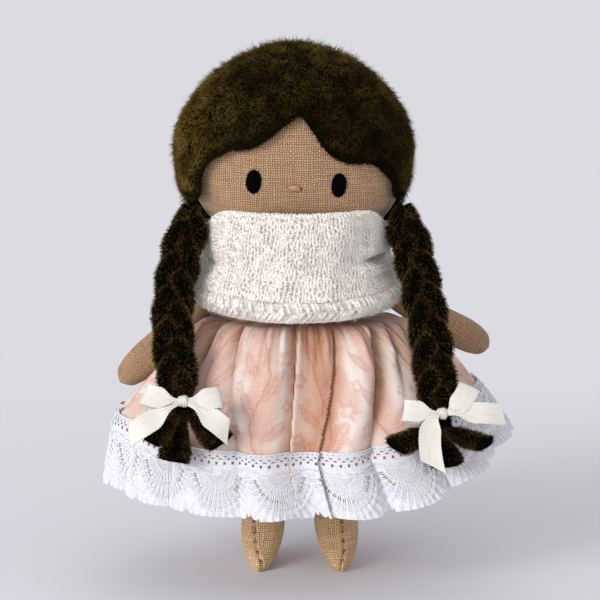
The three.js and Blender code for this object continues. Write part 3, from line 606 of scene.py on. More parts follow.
def make_leg(label, material, stitch_material):
    leg = LEGS[label]
    points = leg_points(label, 150, 160)
    points = swell(turned(points, leg["turn"], (leg["x"], 0, 0)), 0.12, 14, 8)[::-1]
    points[..., 2] = np.maximum(points[..., 2], 0.02)
    skin = Skin()
    skin.grid(points, centred_map(points))
    middle = points[0].mean(0)
    shares = np.linspace(0, 1, 8)[:, None, None]
    sole = mix(middle[None, None], points[0][None], shares)
    skin.grid(sole, np.pad(sole[..., :2], [(0, 0), (0, 1), (0, 0)], mode="wrap"))
    piece = skin.dress(f"leg_{label}_linen", material, f"{label}_leg", "linen", f"leg_{label}")
    heights = np.arange(3.6, 26, 2.35)
    heights = heights + random.uniform(-0.3, 0.3, len(heights))
    seam_x = curve_table(LEG_SEAMS[label], heights)[:, 0]
    share = (LEG_TOP - heights) / LEG_LENGTH
    wide, deep, forward = curve_table(LEG_SHARES, share).T
    lean = random.uniform(-0.35, 0.35, len(heights))
    place = np.linspace(-1, 1, 7)
    x = seam_x[:, None] + 0.5 * place
    z = heights[:, None] + 0.5 * lean[:, None] * place
    held = np.clip(x / (LEG_HALF[0] * wide[:, None]), -0.98, 0.98)
    y = -LEG_HALF[1] * deep[:, None] * np.sqrt(1 - held**2) - FOOT_REACH * forward[:, None]
    y = y - 0.34 * np.sqrt(np.maximum(0, 1 - place**2)) + 0.22
    stitches = turned(np.stack([x, y, z], -1), leg["turn"], (leg["x"], 0, 0))
    thread = Skin()
    thread.tubes(stitches, (0, -1, 0), 0.15, 6)
    z = np.linspace(2.2, 30, 90)
    x = curve_table(LEG_SEAMS[label], z)[:, 0]
    wide, deep, forward = curve_table(LEG_SHARES, (LEG_TOP - z) / LEG_LENGTH).T
    y = -LEG_HALF[1] * deep * np.sqrt(1 - (x / (LEG_HALF[0] * wide)) ** 2) - FOOT_REACH * forward + 0.5
    run = turned(np.stack([x, y, z], -1), leg["turn"], (leg["x"], 0, 0))
    thread.tubes(run[None], (0, -1, 0), 0.09, 6)
    thread.dress(f"leg_{label}_seam", stitch_material, f"{label}_leg", "eye_thread")


def make_arm(label, material):
    arm = ARMS[label]
    share = np.linspace(0, 1, 100) ** 0.95
    thick, wide = curve_table(ARM_SHARES, share).T
    turns = full_turn(96)
    x, y = round_point(turns[None], (ARM_HALF * thick)[:, None], (ARM_HALF * wide)[:, None], 2)
    seam = np.exp(-((np.abs(turns) - math.pi / 2) / 0.09) ** 2)
    x = x * (1 - 0.07 * seam)
    z = np.broadcast_to(-0.15 - (ARM_LENGTH - 0.15) * share[:, None], x.shape)
    points = swell(np.stack([x, y, z], -1), 0.15, 16, 11)
    tilt = -arm["side"] * math.radians(90 - arm["drop"])
    lean = arm["side"] * math.radians(arm["lean"])
    turn = np.array(Matrix.Rotation(lean, 3, "Z") @ Matrix.Rotation(tilt, 3, "Y"))
    points = points @ turn.T + np.array([arm["side"] * SHOULDER[0], 0, SHOULDER[1]])
    skin = Skin()
    skin.grid(points[::-1], centred_map(points[::-1]))
    piece = skin.dress(f"arm_{label}_linen", material, f"{label}_arm", "linen", f"arm_{label}")


# Hair and plaits

def mesh_skin(mesh):
    """A mesh's points in millimetres, and its normals."""
    read = []
    for key in ("co", "normal"):
        values = np.zeros(len(mesh.vertices) * 3)
        mesh.vertices.foreach_get(key, values)
        read.append(values.reshape(-1, 3))
    return read[0] * 1000 - SHIFT, read[1]


def surface_samples(mesh, count, keep):
    """Random places on a mesh, even by area: points in millimetres and outward directions."""
    mesh.calc_loop_triangles()
    triangles = np.zeros(len(mesh.loop_triangles) * 3, np.int32)
    mesh.loop_triangles.foreach_get("vertices", triangles)
    triangles = triangles.reshape(-1, 3)
    points, normals = mesh_skin(mesh)
    a, b, c = (points[triangles[:, i]] for i in range(3))
    area = np.linalg.norm(np.cross(b - a, c - a), axis=1)
    area *= keep((a + b + c) / 3, normals[triangles].mean(1))
    chosen = random.choice(len(area), count, p=area / area.sum())
    weights = random.dirichlet((1, 1, 1), count)[..., None]
    place = (points[triangles[chosen]] * weights).sum(1)
    return place, unit((normals[triangles[chosen]] * weights).sum(1))


def fibres(skin, roots, outward, comb, length, radius, mess=0.3, curl=0.25, light=1.0):
    """Short tapered hairs that leave a surface and lean the way it is combed."""
    count = len(roots)
    length = np.reshape(length, (-1, 1)) * random.uniform(0.65, 1.15, (count, 1))
    start = unit(outward + mess * random.normal(size=(count, 3)) + 0.35 * comb)
    bend = unit(start + comb * random.uniform(0.4, 1.1, (count, 1)) + curl * random.normal(size=(count, 3)))
    middle = roots + start * length * 0.5
    tip = middle + bend * length * 0.5
    paths = np.stack([roots - outward * 0.15, middle, tip], 1)
    taper = radius * np.array([1.0, 0.75, 0.12])
    around = unit(np.cross(start, bend) + 0.01)[:, None]
    # light scales each fibre's tone; the hair passes painted shade through it.
    tone = light * random.uniform(0, 1, count)
    skin.tubes(paths, around, taper[None] * random.uniform(0.7, 1.2, (count, 1)), 3, tone=tone, caps=False)


def remeshed(node, name, voxel, rounds):
    """A copy of a CAD node's skin, remeshed evenly and smoothed."""
    source = bpy.data.objects.new(name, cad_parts[node].data.copy())
    bpy.context.scene.collection.objects.link(source)
    remesh = source.modifiers.new("remesh", "REMESH")
    remesh.mode = "VOXEL"
    remesh.voxel_size = voxel / 1000
    relax = source.modifiers.new("smooth", "SMOOTH")
    relax.factor = 0.5
    relax.iterations = rounds
    ready = source.evaluated_get(bpy.context.evaluated_depsgraph_get())
    mesh = bpy.data.meshes.new_from_object(ready)
    bpy.data.objects.remove(source)
    mesh.name = name
    made = bpy.data.objects.new(name, mesh)
    bpy.context.scene.collection.objects.link(made)
    return made


# How far the felt lies inside the CAD hair, the fleece's length and number of fibres, how far from the
# hairline it is shorter and darker with painted shade, and where the halves meet
HAIR_INSET = 1.4
HAIR_LENGTH = 2.15
HAIR_COUNT = 30000
HAIR_EDGE = 3.2
HAIR_JOINT = 2
FAR = 99.0


def from_crown(places):
    """Outward directions from the middle of the hair, flattened like the cap itself."""
    return unit((places - np.array(HAIR_CENTRE)) / np.array([1, 0.8, 1.2]))


def rim_distance(mesh, places):
    """How far each place lies from the hairline, the rim of the cap round the face."""
    points, normals = mesh_skin(mesh)
    rim = points[(np.abs((normals * from_crown(points)).sum(1)) < 0.35) & (points[:, 1] < -4)]
    if not len(rim):
        return np.full(len(places), FAR)
    tree = KDTree(len(rim))
    for index, point in enumerate(rim):
        tree.insert(point, index)
    tree.balance()
    return np.array([tree.find(place)[2] for place in places])


def make_hair(part, felt, wool):
    """One half of the cap: a felt ground from the CAD form, drawn in, with fleece standing on it."""
    ground = remeshed(f"hair_{part}", f"hair_{part}_felt", 0.8, 5)
    mesh = ground.data
    points, normals = mesh_skin(mesh)
    outer = smooth((normals * from_crown(points)).sum(1) * 1.6)
    lumps = 0.35 * ripple(points, 8, 21)
    points -= normals * ((HAIR_INSET + lumps) * outer)[:, None]
    mesh.vertices.foreach_set("co", metres(points).astype(np.float32).ravel())
    mesh.update()
    mesh.polygons.foreach_set("use_smooth", np.ones(len(mesh.polygons), bool))
    mesh.materials.clear()
    mesh.materials.append(felt)
    dress(ground, "dressed_body", "wool_hair", f"hair_{part}")

    def shown(place, normal):
        seam = (np.abs(place[:, 1] - HAIR_JOINT) < 0.5) & (np.abs(normal[:, 1]) > 0.8)
        return np.where(seam, 0, smooth(((normal * from_crown(place)).sum(1) + 0.2) * 2))

    skin = Skin()
    roots, outward = surface_samples(mesh, HAIR_COUNT, shown)
    down = np.array([0, 0, -1.0])
    swirl = np.stack([ripple(roots, 7, seed) for seed in (31, 32, 33)], 1)
    comb = down - (outward @ down)[:, None] * outward + 0.8 * swirl
    comb -= (comb * outward).sum(1, keepdims=True) * outward
    low = smooth((110 - roots[:, 2]) / 6)
    edge = 1 - smooth(rim_distance(mesh, roots) / HAIR_EDGE)
    joint = np.exp(-(((roots[:, 1] - HAIR_JOINT) / 1.4) ** 2))
    comb *= (1 - 0.9 * edge)[:, None]
    length = HAIR_LENGTH * (1 + 0.5 * low + 0.5 * joint) * (1 - 0.65 * edge)
    # Painted shade on the fibre tones: darker on the front middle (front_shade), along the hairline (edge),
    # and to the right and on top (shade).
    front_shade = smooth((-roots[:, 1] - 6) / 12) * smooth((roots[:, 0] + 30) / 26)
    front_shade = front_shade * smooth((158 - roots[:, 2]) / 26)
    shade = np.maximum(smooth((roots[:, 0] + 14) / 36), 0.8 * smooth((roots[:, 2] - 132) / 14))
    light = (1 - 0.5 * front_shade) * (1 - 0.85 * edge) * (1 - 0.55 * shade)
    fibres(skin, roots, outward, comb, length, 0.08, 0.3, 0.45, light)
    skin.dress(f"hair_{part}_fleece", wool, "dressed_body", "wool_hair")


# Where a plait starts and is tied, both with x outward and y forward, and where its three ends point
BRAIDS = {
    "left": {"side": -1, "root": (29.2, 8.5, 105.7), "tie": (31.2, 36, 52.4), "bulge": 4.6, "tail": 13,
             "ends": [(-0.2, -0.9), (0.68, -0.5), (-0.6, -0.45)]},
    "right": {"side": 1, "root": (29.3, 8.5, 106), "tie": (39.2, 36, 48.4), "bulge": 2.2, "tail": 13,
              "ends": [(0.16, -0.7), (0.84, -0.22), (-0.82, -0.32)]},
}
PLAIT_HALF = (3.4, 2.6)
PLAIT_TURN = 30
PLAIT_SAG = 3
STRAND = 2.15
PILE_COUNT = 9500
PILE_LENGTH = 1.2
TIE_HEIGHT = 2.6
TIE_HALF = (3.1, 2.6)
TAIL_HALF = (4.1, 1.4)
TAIL_FORWARD = 5


def braid_line(braid, share):
    share = np.asarray(share, float)
    root, tie = braid["root"], braid["tie"]
    bow = np.sin(np.pi * share)
    return np.stack([
        braid["side"] * (mix(root[0], tie[0], share) + braid["bulge"] * bow),
        -mix(root[1], tie[1], share) + PLAIT_SAG * bow,
        mix(root[2], tie[2], share),
    ], -1)


def cross_frame(along):
    along = unit(along)
    lateral = np.array([1.0, 0, 0]) - along * along[..., :1]
    lateral = unit(lateral)
    return along, lateral, np.cross(along, lateral)


def plait_fullness(braid, share):
    span = np.linalg.norm(braid_line(braid, 0) - braid_line(braid, 1))
    root = mix(0.58, 1, smooth(share / 0.12))
    tie = mix(0.5, 1, smooth((1 - share - TIE_HEIGHT / span) / 0.12))
    return np.minimum(root, tie)


def strand_line(braid, strand, share):
    """The middle of one strand: side to side once a turn, and over and under twice."""
    step = 1 / 100
    _, lateral, forward = cross_frame(braid_line(braid, share + step) - braid_line(braid, share - step))
    span = np.linalg.norm(braid_line(braid, 0) - braid_line(braid, 1))
    phase = TAU * ((share - 1) * span / PLAIT_TURN + strand / 3)
    full = plait_fullness(braid, share)
    side = (PLAIT_HALF[0] * full * np.sin(phase))[:, None] * lateral
    lift = (PLAIT_HALF[1] * full * np.sin(2 * phase))[:, None] * forward
    return braid_line(braid, share) + side + lift


def ring_skin(middles, lateral, forward, half_width, half_depth, power, sides):
    """Rings of rounded outline along a line of middles."""
    turns = np.linspace(0, TAU, sides, endpoint=False)
    reach = 2 / power
    across = np.sign(np.cos(turns)) * np.abs(np.cos(turns)) ** reach
    through = np.sign(np.sin(turns)) * np.abs(np.sin(turns)) ** reach
    return (
        middles[:, None]
        + lateral[:, None] * (half_width[:, None] * across)[..., None]
        + forward[:, None] * (half_depth[:, None] * through)[..., None]
    )


def fleece_on_rings(skin, rings, middles, centre):
    """Fleece on the outer side of a strand's rings, combed along it."""
    rows, sides = rings.shape[:2]
    row = random.uniform(0, rows - 1.001, PILE_COUNT)
    side = random.integers(0, sides, PILE_COUNT)
    low = row.astype(int)
    part = (row - low)[:, None]
    nudge = random.uniform(0, 1, PILE_COUNT)[:, None]
    here = mix(rings[low, side], rings[low + 1, side], part)
    there = mix(rings[low, (side + 1) % sides], rings[low + 1, (side + 1) % sides], part)
    roots = mix(here, there, nudge)
    middle = mix(middles[low], middles[low + 1], part)
    outward = unit(roots - middle)
    hidden = ((roots - mix(centre[low], centre[low + 1], part)) * outward).sum(1) < -0.4
    along = unit(middles[low + 1] - middles[low])
    roots, outward, along = roots[~hidden], outward[~hidden], along[~hidden]
    swirl = np.stack([ripple(roots, 5, seed) for seed in (34, 35, 36)], 1)
    fibres(skin, roots, outward, along * 0.8 + 0.6 * swirl, PILE_LENGTH, 0.075, 0.28, 0.4)


def make_braid(label, felt, wool, thread):
    braid = BRAIDS[label]
    share = np.linspace(0, 1, 90)
    fleece = Skin()
    for strand, (letter, end) in enumerate(zip("abc", braid["ends"])):
        middles = strand_line(braid, strand, share)
        _, lateral, forward = cross_frame(np.gradient(middles, axis=0))
        full = plait_fullness(braid, share)
        start = middles[-1]
        reach = np.array([end[0] * braid["tail"], -TAIL_FORWARD, end[1] * braid["tail"]])
        run = np.linspace(0, 1, 22)[1:]
        tail = start + reach * run[:, None] + np.array([0, 1.0, -0.6]) * np.sin(np.pi * run)[:, None]
        _, tail_lateral, tail_forward = cross_frame(np.gradient(tail, axis=0))
        wide = np.concatenate([STRAND * 1.08 * full, mix(STRAND * 0.4, TAIL_HALF[0], smooth(run * 1.15))])
        deep = np.concatenate([STRAND * 0.92 * full, mix(STRAND * 0.4, TAIL_HALF[1], run)])
        line = np.concatenate([middles, tail])
        lateral, forward = np.concatenate([lateral, tail_lateral]), np.concatenate([forward, tail_forward])
        rings = ring_skin(line, lateral, forward, wide, deep, 2.6, 22)
        rings = rings + 0.18 * ripple(rings, 4, 40 + strand)[..., None] * unit(rings - line[:, None])
        close = rings.mean(1, keepdims=True)
        ends = [mix(rings[-1:], close[-1:], s) for s in (0.35, 0.7, 0.97)]
        skin = Skin()
        skin.grid(np.concatenate([close[:1] + 0 * rings[:1], rings, *ends]), flip=True)
        piece = skin.build(f"braid_{label}_fleece_{letter}", felt)
        dress(piece, f"{label}_braid", "wool_hair", f"braid_{label}_strand_{letter}")
        centre = np.concatenate([braid_line(braid, share), tail])
        fleece_on_rings(fleece, rings, line, centre)
    fleece.dress(f"braid_{label}_pile", wool, f"{label}_braid", "wool_hair")
    skin = Skin()
    span = np.linalg.norm(braid_line(braid, 0) - braid_line(braid, 1))
    turn = np.linspace(0, 5 * TAU, 180)
    place = 1 - TIE_HEIGHT / span * mix(0.1, 0.9, turn / turn[-1])
    middle = braid_line(braid, place)
    _, lateral, forward = cross_frame(braid_line(braid, place + 0.01) - braid_line(braid, place - 0.01))
    ring = middle + lateral * (TIE_HALF[0] * np.cos(turn))[:, None]
    ring = ring + forward * (TIE_HALF[1] * np.sin(turn))[:, None]
    skin.tubes(ring[None], unit(ring - middle)[None], 0.34, 6)
    skin.dress(f"braid_{label}_binding", thread, f"{label}_braid", "eye_thread", f"braid_{label}_tie")


# Ribbon bows

RIBBON = {"width": 5.7, "thick": 0.28, "core": 1.1}
BOW_TILT = math.radians(28)
LOOP_STEPS, TAIL_STEPS = 49, 41
# Reach and rise of each loop, reach, fall and sag of each tail, and how each tail is cut across
BOWS = {
    "left": {
        "knot": (-30.9, -40.8, 57.1), "loops": [(10.8, 2.0), (10.1, 1.0)],
        "tails": [(14.4, 9.4, 0.66), (12.4, 8.6, 0.66)], "cuts": [-0.5, 0.6],
    },
    "right": {
        "knot": (39.6, -41, 53.7), "loops": [(10.6, 0.8), (7.7, 7.5)],
        "tails": [(2.7, 14.9, 0.33), (16.8, 0.3, 0.33)], "cuts": [-0.8, 0.23],
    },
}


def shell(skin, points, thickness, cloth=None, closed=False, tone=None):
    """A thin closed skin about a grid of points."""
    if closed:
        around = np.roll(points, -1, 1) - np.roll(points, 1, 1)
    else:
        around = np.gradient(points, axis=1)
    outward = unit(np.cross(around, np.gradient(points, axis=0))) * thickness / 2
    front, back = points + outward, points - outward
    tone = np.full(points.shape[:2], 0.5) if tone is None else tone
    skin.grid(front, cloth, closed, tone=tone.ravel())
    skin.grid(back, cloth, closed, flip=True, tone=tone.ravel())
    for row, flip in ((0, True), (-1, False)):
        edge = np.stack([front[row], back[row]])
        edge_cloth = None if cloth is None else np.stack([cloth[row]] * 2)
        skin.grid(edge, edge_cloth, closed, flip, tone=np.stack([tone[row]] * 2).ravel())
    if not closed:
        for column, flip in ((0, False), (-1, True)):
            edge = np.stack([front[:, column], back[:, column]])
            edge_cloth = None if cloth is None else np.stack([cloth[:, column]] * 2)
            skin.grid(edge, edge_cloth, False, flip, tone=np.stack([tone[:, column]] * 2).ravel())


def ribbon(skin, edges, line, widthway, width, gather, cut=0.0, seed=0):
    """A flat ribbon along a line, pinched where it is gathered, with a beaded edge on each side."""
    steps, columns = len(line), 15
    along = unit(np.gradient(line, axis=0))
    across = unit(widthway - (widthway * along).sum(1, keepdims=True) * along)
    through = np.cross(along, across)
    place = np.linspace(-1, 1, columns)
    run = lengths(line, 0)
    end = smooth((run - run[-1] + 5) / 5) * cut
    points = line[:, None] + across[:, None] * (width[:, None] * place / 2)[..., None]
    points = points + along[:, None] * (end[:, None] * place * width[:, None] / 2)[..., None]
    pleat = gather[:, None] * np.sin(place * 2.5 * math.pi + seed) * 0.45
    points = points + through[:, None] * (pleat + 0.25 * (1 - place**2) * (1 - gather[:, None]))[..., None]
    cloth = np.stack(np.broadcast_arrays(run[:, None], place * RIBBON["width"] / 2), -1)
    shell(skin, points, RIBBON["thick"], cloth)
    fine = np.linspace(0, steps - 1, steps * 8)
    for side in (0, -1):
        rim = np.stack([np.interp(fine, np.arange(steps), points[:, side, i]) for i in range(3)], -1)
        beads = 0.13 + 0.1 * np.abs(np.sin(lengths(rim, 0) * math.pi / 0.95))
        edges.tubes(rim[None], np.repeat(through, 8, 0)[None], beads[None], 6)


def spread(share):
    return mix(RIBBON["core"], RIBBON["width"], smooth((share - 0.2) / 0.42))


def bow_loop(side, length, rise):
    turn = np.linspace(0, math.pi, LOOP_STEPS)
    out = np.maximum(0, np.sin(turn)) ** 0.8
    depth = -1.9 * np.cos(turn) * np.sqrt(np.maximum(0, np.sin(turn)))
    slope = 2.2 * rise * out**1.2
    line = np.stack([side * length * out, depth, rise * out**2.2], -1)
    widthway = unit(np.stack([-side * slope, 0 * out, np.full_like(out, length)], -1))
    return line, widthway, spread(out), 1 - smooth(out / 0.55)


def bow_tail(side, length, drop, sag):
    share = np.linspace(0, 1, TAIL_STEPS)[:, None]
    b = np.array([side * min(5.4, 0.4 * length + 1.2), 0, -drop * (sag - 0.33)])
    c = np.array([side * max(length / 2, min(8.1, length + 2.3)), 0, -drop * sag])
    d = np.array([side * length, 0, -drop])
    rest = 1 - share
    line = 3 * rest**2 * share * b + 3 * rest * share**2 * c + share**3 * d
    along = unit(np.gradient(line, axis=0))
    share = share[:, 0]
    line[:, 1] -= 1.5 * np.sin(math.pi * share) + 0.35 * np.sin(3 * math.pi * share)
    widthway = np.stack([along[:, 2], 0 * share, -along[:, 0]], -1)
    return line, widthway, spread(share), 1 - smooth(share / 0.5)


def make_bow(label, satin, edge_thread):
    bow = BOWS[label]
    tilt = np.array(Matrix.Rotation(-BOW_TILT, 3, "X"))
    skin, edges = Skin(), Skin()
    for index, side in enumerate((-1, 1)):
        for parts in (bow_loop(side, *bow["loops"][index]), bow_tail(side, *bow["tails"][index])):
            line, widthway, width, gather = parts
            cut = bow["cuts"][index] if len(line) == TAIL_STEPS else 0.0
            line = line @ tilt.T + np.array(bow["knot"])
            ribbon(skin, edges, line, widthway @ tilt.T, width, gather, cut, index)
    skin.dress(f"bow_{label}_ribbon", satin, f"{label}_braid", "satin_ribbon", f"bow_{label}")
    edges.dress(f"bow_{label}_selvedge", edge_thread, f"{label}_braid", "satin_ribbon")
    knot = Skin()
    turn = np.linspace(0, TAU, 41)[:-1]
    for shift, grow in ((-0.4, 0.0), (0.4, 0.16)):
        radius = RIBBON["core"] + 0.2 + grow
        band = []
        for place in np.linspace(-1, 1, 9):
            fold = 0.16 * np.sin(place * 7 + 2 * np.sin(turn)) + radius - 0.3 * place**4
            across = shift + place * 0.7 + 0.2 * np.sin(2 * turn)
            flat = np.stack([across, fold * np.cos(turn), fold * np.sin(turn)], -1)
            band.append(flat @ tilt.T + np.array(bow["knot"]))
        shell(knot, np.array(band), 0.3, closed=True)
    knot.dress(f"bow_{label}_wrap", satin, f"{label}_braid", "satin_ribbon", f"bow_{label}_knot")


# Knitted cowl

COWL_HALF = (29.5, 26)
COWL_SHARES = [
    (0, 0.98, 1), (0.16, 0.99, 1), (0.3, 0.96, 0.97), (0.42, 0.9, 0.95), (0.52, 0.87, 0.94),
    (0.62, 0.87, 0.95), (0.75, 0.88, 0.95), (0.88, 0.88, 0.94), (1, 0.86, 0.91),
]
COWL_LOW, COWL_HIGH = 76.2, 105.6
COWL_MIDDLE = 90
COWL_FUZZ, COWL_HEM_FUZZ = 34000, 11000
COWL_HEM_TALL = 5.4
COWL_HEM_ROOM = 5.7
# Stitches round the knit, its rows, and stitches round its hem
WALES, COURSES, HEM_STITCHES = 88, 18, 136
# Creases pressed into the sides: turn, height, reach round, reach up, and depth, or swelling if below 0
COWL_CREASES = [
    (1.06, 91.7, 0.24, 1.1, 3.2), (1.28, 91.9, 0.2, 1.7, 2.2), (1.05, 94.4, 0.3, 1.1, -0.8),
    (1.1, 89.0, 0.3, 1.0, -0.7), (1.4, 86.6, 0.25, 1.2, 0.8), (-1.3, 90.4, 0.2, 1.0, 2.2),
    (-1.5, 84.6, 0.2, 0.8, 1.4), (0.95, 93.4, 0.3, 2.4, 0.4),
]


def cowl_bottom(turn):
    from_side = np.arccos(np.minimum(1, np.abs(np.sin(turn))))
    arch = 8 * np.exp(-((from_side / math.radians(16)) ** 2))
    return mix(COWL_LOW, 78.4, np.sin(turn) ** 2) + arch


def cowl_top(turn):
    return mix(97.9, COWL_HIGH, smooth((np.cos(turn) + 0.02) / 0.68))


def outward_at(turn):
    return np.stack([np.sin(turn), -np.cos(turn), 0 * turn], -1)


def cowl_place(turn, height):
    share = (height - COWL_LOW) / (COWL_HIGH - COWL_LOW)
    wide, deep = curve_table(COWL_SHARES, share.ravel()).T.reshape(2, *share.shape)
    x, y = round_point(turn, COWL_HALF[0] * wide, COWL_HALF[1] * deep, 2.1)
    return np.stack([x, y, height], -1)


def cowl_point(turn, up):
    """The cowl's layer above its hem. Past 1 the edge rolls over to the inside."""
    turn, up = np.broadcast_arrays(turn, up)
    roll = 1.1
    low, high = cowl_bottom(turn) + COWL_HEM_ROOM, cowl_top(turn) - roll
    height = mix(low, high, np.clip(up, 0, 1))
    over = np.clip(up - 1, 0, None) * 14
    place = cowl_place(turn, height)
    out = outward_at(turn)
    place = place - out * (roll * (1 - np.cos(over)))[..., None]
    place[..., 2] += roll * np.sin(over)
    loose = 0.45 * ripple(place, 13, 51) + 0.05 * np.sin(turn * WALES / 2)
    for at, level, wide, tall, deep in COWL_CREASES:
        away = ((turn - at) / wide) ** 2 + ((height - level) / tall) ** 2
        loose = loose - deep * np.exp(-away)
    lip = 0.5 * np.exp(-((up / 0.07) ** 2))
    return place + out * (loose + lip)[..., None], out, over


def cowl_normal(out, over):
    """The cowl's outward directions, which turn up where its edge rolls over."""
    return unit(out * np.cos(over)[..., None] + np.stack([0 * over, 0 * over, np.sin(over)], -1))


def knit_fuzz(name, knit, roots, outward):
    """Short soft hairs that stand off the yarn."""
    skin = Skin()
    drift = np.stack([ripple(roots, 4, seed) for seed in (71, 72, 73)], 1)
    fibres(skin, roots, outward, drift, 1.5, 0.055, 0.6, 0.7)
    return skin.build(name, knit)


def make_cowl(knit, ground_material):
    """Courses of interlocked loops, each a wavy yarn, over a soft ground."""
    steps = 12
    turn = np.linspace(-math.pi, math.pi, WALES * steps + 1)
    phase = np.arange(WALES * steps + 1) * TAU / steps
    wale = TAU / WALES
    uneven = 0.06 * np.sin(phase / 7.3) + 0.05 * np.sin(phase / 3.1 + 1)
    courses = np.linspace(0.01, 1.2, COURSES)
    gap = courses[1] - courses[0]
    paths, normals = [], []
    for index, course in enumerate(courses):
        jitter = 0.34 * random.normal(size=WALES + 1).repeat(steps)[: len(turn)]
        drift = ripple(cowl_place(turn, COWL_MIDDLE + 0 * turn), 6, index)
        bow = turn + wale * (0.17 * np.sin(2 * phase) + uneven + 0.45 * drift)
        up = course + gap * (-0.78 * np.cos(phase) + jitter * 0.5 * np.sin(phase) ** 2)
        place, out, over = cowl_point(bow, up)
        normal = cowl_normal(out, over)
        depth = 0.16 - 0.34 * np.cos(2 * phase) * 0.5
        paths.append(place + normal * depth[:, None])
        normals.append(normal)
    skin = Skin()
    tone = random.uniform(0.2, 0.8, COURSES)
    skin.tubes(np.array(paths), np.array(normals), 0.47, 4, tone=tone, caps=False)
    yarn = skin.dress("cowl_knit", knit, "dressed_body", "knit")
    bow, up = random.uniform(-math.pi, math.pi, COWL_FUZZ), random.uniform(0, 1.05, COWL_FUZZ)
    place, out, _ = cowl_point(bow, up)
    fuzz = dress(knit_fuzz("cowl_fuzz", knit, place + out * 0.3, out), "dressed_body", "knit")
    turns = full_turn(180)
    place, out, over = cowl_point(turns[None], np.linspace(0, 1.2, 34)[:, None])
    points = place - cowl_normal(out, over) * 0.12
    skin = Skin()
    skin.grid(points, centred_map(points))
    ground = skin.dress("cowl_ground", ground_material, "dressed_body", "knit", "cowl")


def make_cowl_hem(knit, ground_material):
    """The turned hem: two rows of slanting stitches that meet in a chevron, over a soft roll."""
    count, steps = HEM_STITCHES, 9
    turns = full_turn(count)
    share = np.linspace(0, 1, steps)
    skin = Skin()
    for low, high, slant in ((0.02, 0.6, 2.0), (0.42, 0.98, -0.7)):
        bow = turns[:, None] + TAU / count * (slant * (share - 0.5) + 0.5 * random.normal(size=(count, 1)))
        up = mix(low, high, share)[None] + 0.02 * random.normal(size=(count, 1))
        height = cowl_bottom(bow) + COWL_HEM_TALL * up
        out = outward_at(bow)
        bulge = 1.0 * np.sin(math.pi * up) ** 2 + 0.75 + 0.3 * np.sin(math.pi * share)
        place = cowl_place(bow, height)
        place = place + out * (bulge + 0.3 * ripple(place, 12, 61))[..., None]
        radius = 0.62 * np.sin(math.pi * mix(0.14, 0.86, share)) ** 0.6
        skin.tubes(place, out, radius[None], 6, 0.85, tone=random.uniform(0.2, 0.8, count), caps=False)
    bow, up = random.uniform(-math.pi, math.pi, COWL_HEM_FUZZ), random.uniform(0, 1, COWL_HEM_FUZZ)
    place = cowl_place(bow, cowl_bottom(bow) + COWL_HEM_TALL * up)
    place = place + outward_at(bow) * (1.5 * np.sin(math.pi * up) + 0.7)[:, None]
    skin.dress("cowl_hem_stitches", knit, "dressed_body", "knit")
    dress(knit_fuzz("cowl_hem_fuzz", knit, place, outward_at(bow)), "dressed_body", "knit")
    turns = full_turn(180)[None]
    up = np.linspace(0, 1, 16)[:, None]
    height = cowl_bottom(turns) + COWL_HEM_TALL * up
    place = cowl_place(turns, height)
    ring = np.sin(math.pi * up) ** 0.7
    stand = 1.1 * ring + 0.3 * ripple(place, 12, 61) - 0.2
    points = place + outward_at(turns + 0 * up) * stand[..., None]
    skin = Skin()
    shell(skin, points, 0.9, centred_map(points), closed=True)
    ground = skin.dress("cowl_hem_roll", ground_material, "dressed_body", "knit", "cowl_hem")


# Skirt and lace

WAIST_HEIGHT = 73.4
HEM = {"half": (50.4, 31), "centre": (0, -6), "height": 39.5, "lifts": (16.5, 6.9)}
LACE = {"half": (58.1, 35.5), "centre": (3.2, -8.5), "height": 24.3, "lifts": (19, 3.7)}
# The valleys between the folds as turns at the waist and at the hem: in front as pictured, and evenly
# spread round the back
FRONT_VALLEYS = [(-0.65, -0.34), (0.03, -0.038), (0.42, 0.116), (0.92, 0.42), (1.4, 0.776)]
BACK_VALLEYS = 12
FOLD_DEPTHS = [3.4, -2.2, 3.8, 3.6]
# Pleats that drop sharply on their left: turn at the waist and at the hem, where they run out, depth,
# width
PLEATS = [
    (-1.02, -0.62, 0.3, 2.0, 0.12), (-0.78, -0.5, 0.6, 2.0, 0.07), (-0.25, -0.12, 0.68, 1.8, 0.07),
    (0.02, -0.06, -0.6, 1.9, 0.2), (0.42, 0.13, -0.2, 2.2, 0.14), (0.62, 0.25, 0.62, 2.4, 0.07),
    (0.92, 0.42, 0.0, 2.8, 0.12), (1.15, 0.62, 0.1, 2.8, 0.16),
]
SHOULDER_REACH, SHOULDER_FALL, SHOULDER_SHARE = 7.7, 0.2, 0.76
PRINT_WIDTH = 300
LINING_INSET = 1.1
LACE_STAND = 1.2
LACE_WIDTH = 310
LACE_TALL = 19.0
FANS = 19
FAN_WIDE = 16.4
FAN_ROOT = 7.6
RIBS, RIB_SPREAD = 15, 2.3
SCALLOP = 3.0
# Rows of holes in the band: how far down, pitch, half width, half height, offset
HOLE_ROWS = [
    (1.5, 1.37, 0.14, 0.18, 0.0), (3.7, 2.05, 0.34, 0.36, 0.0), (5.2, 2.05, 0.34, 0.36, 1.025),
    (6.7, 2.05, 0.28, 0.32, 0.0),
]


def waist_outline(turn, grow):
    up = (WAIST_HEIGHT - 40) / TORSO_HEIGHT
    wide, deep = curve_table(TORSO_SHARES, np.array([up]))[0]
    return round_point(turn, TORSO_HALF[0] * wide + grow, TORSO_HALF[1] * deep + grow, TORSO_POWER)


def ring_point(ring, turn):
    across = np.sin(turn)
    lift = ring["lifts"][0] * np.maximum(0, across) ** 3 + ring["lifts"][1] * np.maximum(0, -across) ** 3
    return np.stack([
        ring["centre"][0] + ring["half"][0] * across,
        ring["centre"][1] - ring["half"][1] * np.cos(turn),
        ring["height"] + lift,
    ], -1)


